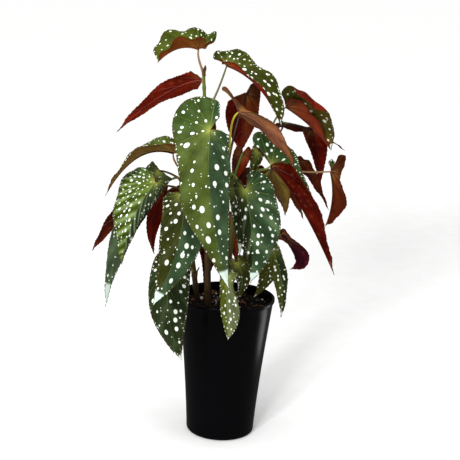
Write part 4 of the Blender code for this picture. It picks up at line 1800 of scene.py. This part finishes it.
CANES = (
    Cane("cane_tall", ((-24, -14, 176), (-27, -12, 240), (-33, -6, 330), (-39, 0, 420), (-44, 3, 482)),
         foot_radius=4.6, top_radius=1.9),
    Cane("cane_east", ((-4, -16, 176), (1, -16, 240), (3, -18, 310), (-4, -24, 355), (-9, -30, 386)),
         foot_radius=4.2, top_radius=2.0),
    Cane("cane_back", ((16, 10, 176), (22, 12, 240), (27, 12, 310), (30, 12, 366)),
         foot_radius=4.0, top_radius=2.0),
    Cane("cane_left", ((-38, 2, 176), (-46, -4, 230), (-56, -10, 290), (-62, -14, 350)),
         foot_radius=4.0, top_radius=1.9),
)

WING, FULL, WAIST, SLIM, BLUNT, BULGE, NOTCH = Shape

LEAVES = (
    # Top of the plant
    Leaf("leaf_crown", "cane_tall", 478, (-51, 0, 509), (-77, -6, 509), (-102, -12, 490), (0, -0.1, 1),
         (26, 15), (19, 8), (42, 62), (10, 0), wave=3.2, splay=(0.7, 0.5), shape=(BLUNT, FULL), lobe_bend=0,
         green=both(Green.MOSS), under=both(Under.AMBER), spot=1.9, sheen_and_shade=0, white=0.03,
         stalk_tone=StalkTone.PINK),
    Leaf("leaf_west_red", "cane_tall", 462, (-45, 4, 470), (-94, 8, 448), (-152, 0, 397), (-0.3, 0.85, 0.45),
         (17, 14), (-18, -16), (8, 8), (0, 12), shape=(WING, FULL), under=both(Under.BRICK),
         stalk_tone=StalkTone.PINK),
    Leaf("leaf_north_east", "cane_tall", 430, (-15, -12, 492), (27, -30, 468), (58, -38, 420),
         (0.3, -0.5, 0.8), (10, 31), (6, 27), (55, 22), (10, -20), wave=2.4, shape=(WING, NOTCH),
         stalk_rise=0.1, green=both(Green.OLIVE), under=both(Under.BRICK), spot=2.0, oval=1.7, sheen_and_shade=0,
         stalk_tone=StalkTone.GREY),
    Leaf("leaf_tan", "cane_east", 380, (3, -48, 440), (39, -62, 422), (76, -66, 378), (0.3, 0.8, 0.5),
         (14, 13), (10, 3), (3, 10), (0, 5), splay=(2.85, 0), hook=(20, 0), shape=(BULGE, FULL), lobe_bend=0,
         under=both(Under.TAN), quilt=2.2, veins=8, stalk_tone=StalkTone.YELLOW),
    Leaf("leaf_dark_north", "cane_east", 372, (12, 28, 453), (9, 34, 415), (9, 24, 375), (0.1, 0.95, 0.2),
         (20, 23), (20, -14), shape=both(FULL), under=(Under.BROWN, Under.CRIMSON),
         stalk_tone=StalkTone.DARK),
    Leaf("leaf_arch", "cane_back", 362, (63, 6, 441), (97, 12, 416), (124, 2, 388), (0.4, -0.3, 0.8),
         (20, 63), (6, 20), (75, 62), (0, 144), green=both(Green.BRONZE), under=(Under.ROSE, Under.BRICK),
         quilt=0.8, spot=2.4),
    Leaf("leaf_dark_east", "cane_back", 358, (64, 62, 412), (106, 72, 400), (147, 66, 377), (0.2, 0.35, 0.9),
         (16, 18), (8, 8), green=both(Green.SHADE), under=both(Under.MAROON), stalk_tone=StalkTone.DARK),
    Leaf("leaf_curtain_east", "cane_back", 360, (99, 42, 409), (110, 46, 377), (115, 38, 332),
         (0.1, 0.95, 0.15), (18, 13), (10, 6), stalk_rise=1.0, stalk_tone=StalkTone.DARK),
    Leaf("leaf_far_east", "cane_back", 356, (127, 18, 358), (132, 24, 319), (124, 18, 283), (1, 0.2, 0),
         (18, 16), (22, 14), (80, 40), (0, 0), wave=1.4, splay=(0.55, 0.0), shape=both(BULGE),
         stalk_rise=0.02, under=both(Under.BROWN), stalk_tone=StalkTone.PINK),
    Leaf("leaf_broad_east", "cane_back", 345, (47, -32, 372), (88, -44, 323), (137, -30, 232),
         (0.5, -0.4, 0.7), (25, 36), (-24, 48), (80, 32), (0, 0), overlap=(0.0, 0.05), shape=(FULL, SLIM),
         lobe_bend=0, green=both(Green.FERN), under=both(Under.MAROON), spot=2.3, stalk_tone=StalkTone.LIGHT),
    Leaf("leaf_behind_east", "cane_back", 335, (84, 28, 368), (104, 32, 345), (128, 26, 304),
         (0.5, 0.8, 0.3), (18, 12), shape=(WING, SLIM), under=both(Under.BROWN)),
    Leaf("leaf_olive", "cane_back", 300, (48, -4, 359), (63, -8, 336), (70, -10, 302), (0.3, 0.9, 0.2),
         (15, 15), (4, 6), shape=(FULL, WING), under=both(Under.OLIVE), stalk_tone=StalkTone.LIGHT),
    Leaf("leaf_under_east", "cane_back", 285, (69, 4, 341), (83, 2, 322), (94, 0, 296), (0.3, 0.9, 0.2),
         (8, 8), under=both(Under.RUST), stalk_tone=StalkTone.LIGHT),
    # Front
    Leaf("leaf_front", "cane_tall", 380, (-30, -95, 424), (-24, -122, 338), (3, -105, 228),
         (-0.15, -0.9, 0.35), (54, 30), (50, 4), (-6, -38), overlap=(0.4, 0.0), shape=(WAIST, FULL),
         green=(Green.LEAF, Green.BOTTLE), spot=3.7, quilt=0.7, white=0.12),
    Leaf("leaf_right_front", "cane_east", 352, (16, -66, 347), (28, -88, 291), (29, -84, 231),
         (0.15, -0.9, 0.4), (20, 40), (20, 26), (-30, -8), (-50, -15), shape=(WING, FULL),
         green=(Green.SHADE, Green.BOTTLE), spot=2.4, quilt=0.8, sheen_and_shade=0.3, white=0.14),
    Leaf("leaf_mid_shadow", "cane_east", 320, (7, -38, 339), (12, -48, 300), (14, -48, 256), (0, -0.95, 0.2),
         (12, 13), green=both(Green.PINE), spot=2.2, white=0.2),
    Leaf("leaf_rust_mid", "cane_east", 260, (2, 4, 296), (7, 2, 263), (10, 2, 231), (0, 0.95, 0.1),
         (11, 11), under=(Under.RUST, Under.BRICK)),
    Leaf("leaf_rim", "cane_east", 195, (-1, -76, 237), (2, -84, 193), (5, -80, 153), (-0.1, -0.95, 0.2),
         (10, 16), (6, 6), (-15, -5), shape=(FULL, BULGE), green=(Green.MOSS, Green.FROST), spot=1.5,
         oval=1.8, white=0.08),
    Leaf("leaf_inner_rim", "cane_east", 215, (11, -46, 247), (19, -56, 224), (10, -60, 199),
         (0.2, -0.95, 0.2), (10, 14), green=(Green.PINE, Green.DEEP), spot=2.0),
    # Left
    Leaf("leaf_lower_left", "cane_left", 215, (-71, -60, 247), (-72, -84, 189), (-52, -78, 122),
         (-0.1, -0.95, 0.3), (26, 27), (14, 10), shape=both(FULL), green=both(Green.PINE), spot=2.8,
         white=0.07),
    Leaf("leaf_left_front", "cane_left", 290, (-61, -82, 340), (-62, -104, 280), (-92, -100, 198),
         (-0.1, -0.95, 0.3), (29, 29), (8, 6), (-12, -12), shape=both(FULL),
         green=(Green.DEEP, Green.BOTTLE), white=0.13),
    Leaf("leaf_left_bright", "cane_left", 320, (-96, -56, 348), (-121, -74, 302), (-133, -72, 243),
         (-0.4, -0.75, 0.5), (51, 14), (13, 10), (-5, -35), (-15, -50), wave=2.4,
         green=(Green.LIME, Green.SLATE), spot=1.6, oval=1.7, quilt=1.1, sheen_and_shade=0.95, veins=21, white=0.02,
         stalk_tone=StalkTone.BROWN),
    Leaf("leaf_left_dark", "cane_left", 335, (-94, -16, 354), (-136, -24, 273), (-155, -40, 176),
         (-0.3, -0.9, 0.3), (20, 20), (2, 2), shape=(FULL, WING), green=both(Green.SLATE), spot=2.3,
         spotted=0.6, white=0.16, stalk_tone=StalkTone.BROWN),
    Leaf("leaf_left_back", "cane_left", 346, (-76, -26, 380), (-121, -34, 373), (-159, -42, 323),
         (-0.2, -0.1, 1), (26, 12), (10, 4), (30, 60), (0, 0), shape=(SLIM, FULL), green=both(Green.LEAF),
         under=(Under.MAROON, Under.OLIVE), spot=2.2, stalk_tone=StalkTone.PINK),
    Leaf("leaf_left_far", "cane_left", 344, (-133, 26, 307), (-161, 32, 266), (-182, 26, 231),
         (-0.3, 0.9, 0.2), (12, 12), stalk_rise=0.15, under=both(Under.BROWN)),
    Leaf("leaf_maroon_left", "cane_left", 300, (-84, 4, 323), (-100, 0, 281), (-97, -2, 239), (0, 0.95, 0.1),
         (13, 13), under=(Under.CRIMSON, Under.BRICK)),
    # Right, low
    Leaf("leaf_purple", "cane_back", 240, (66, -8, 277), (94, -8, 249), (80, -10, 231), (0, 1, 0.1),
         (11, 9), (4, 4), shape=both(BULGE), under=both(Under.PLUM)),
    Leaf("leaf_low_tail", "cane_back", 252, (54, -44, 268), (68, -58, 229), (71, -56, 179), (0.3, -0.9, 0.2),
         (14, 11), shape=(WING, FULL), stalk_rise=0.5, green=(Green.OLIVE, Green.PINE), spot=1.6),
    Leaf("leaf_low_right", "cane_back", 210, (53, -16, 252), (50, -24, 223), (34, -26, 194), (0.2, -0.9, 0.3),
         (14, 16), green=both(Green.OLIVE), spot=1.9),
    Leaf("leaf_red_mid", "cane_back", 230, (26, 26, 257), (27, 24, 231), (26, 24, 209), (0, 0.95, 0.1),
         (8, 8), (4, 4), under=(Under.CRIMSON, Under.BRICK)),
    Leaf("leaf_olive_mid", "cane_back", 350, (31, 0, 382), (27, -4, 367), (19, -10, 350), (0.2, -0.9, 0.3),
         (9, 9), green=both(Green.OLIVE), spot=1.8),
    Leaf("leaf_core_dark", "cane_east", 340, (11, 0, 379), (6, -8, 361), (1, -14, 341), (0.1, 0.95, 0.1),
         (12, 12), under=(Under.BRICK, Under.MAROON)),
    Leaf("leaf_core_low", "cane_back", 245, (-29, 32, 250), (-27, 36, 224), (-32, 32, 189), (0, 0.95, 0.1),
         (13, 13), under=both(Under.MAROON)),
    # Back
    Leaf("leaf_back_upper", "cane_tall", 390, (-48, 45, 412), (-46, 70, 350), (-40, 62, 262), (0, 0.9, 0.35),
         (24, 26), (14, 10)),
    Leaf("leaf_back_right", "cane_back", 310, (25, 44, 350), (30, 66, 300), (28, 58, 240), (0, 0.9, 0.35),
         (20, 24), (12, 10), green=(Green.FERN, Green.BOTTLE)),
    Leaf("leaf_back_left", "cane_left", 280, (-60, 30, 320), (-66, 54, 270), (-62, 50, 205), (0, 0.9, 0.35),
         (22, 22), (10, 12), green=(Green.OLIVE, Green.FERN)),
)


def main() -> None:
    """Sets the stage and builds the pieces in order, from the pot up."""
    logging.basicConfig(level=logging.INFO, format="%(name)s: %(message)s")
    studio = Studio()
    studio.build()
    studio.strip(Pot().build(MouldedPlastic(name="moulded_polypropylene", roughness=0.2, ior=1.49,
                                            specular=0.3).make()))

    # Moist peat is matte and nearly black, bark is fibrous and warm, and perlite is chalky white foam
    Soil().build([
        Grainy(name="peat_mix", roughness=0.95).make(),
        Grainy(name="pine_bark", roughness=0.8, dark="#2A160C", light="#7A4A2A", grain=1.5,
               stretch=3.0).make(),
        Grainy(name="perlite", roughness=0.9, dark="#B9B6AE", light="#F2F0EA", grain=1.0, depth=0.3).make(),
    ])

    # A dry bract has the grain of thin brown paper
    skin = CaneSkin(name="cane_epidermis", roughness=0.42, ior=1.42).make()
    bract = Grainy(name="dry_stipule", roughness=0.6, dark="#3E220E", light="#84522A", grain=1.2, depth=0.2,
                   stretch=6.0).make()
    for cane in CANES:
        cane.build([leaf for leaf in LEAVES if leaf.cane == cane.name], [skin, bract])

    finishes = [
        LeafSkin(name="waxy_leaf_upper", roughness=0.42, ior=1.42, specular=0.06).make(),
        LeafSkin(name="waxy_leaf_under", roughness=0.48, ior=1.42, specular=0.03, upper=False, spot="#A86A40",
                 spot_share=0.08, tip="#6A3A20", vein="#7C2E14", sheen_and_shade="#7A3018", border="#5A1A0A").make(),
        VeinSkin(name="leaf_vein", roughness=0.4, ior=1.42).make(),
    ]
    for leaf in LEAVES:
        leaf.build(finishes)


if __name__ == "__main__":
    main()
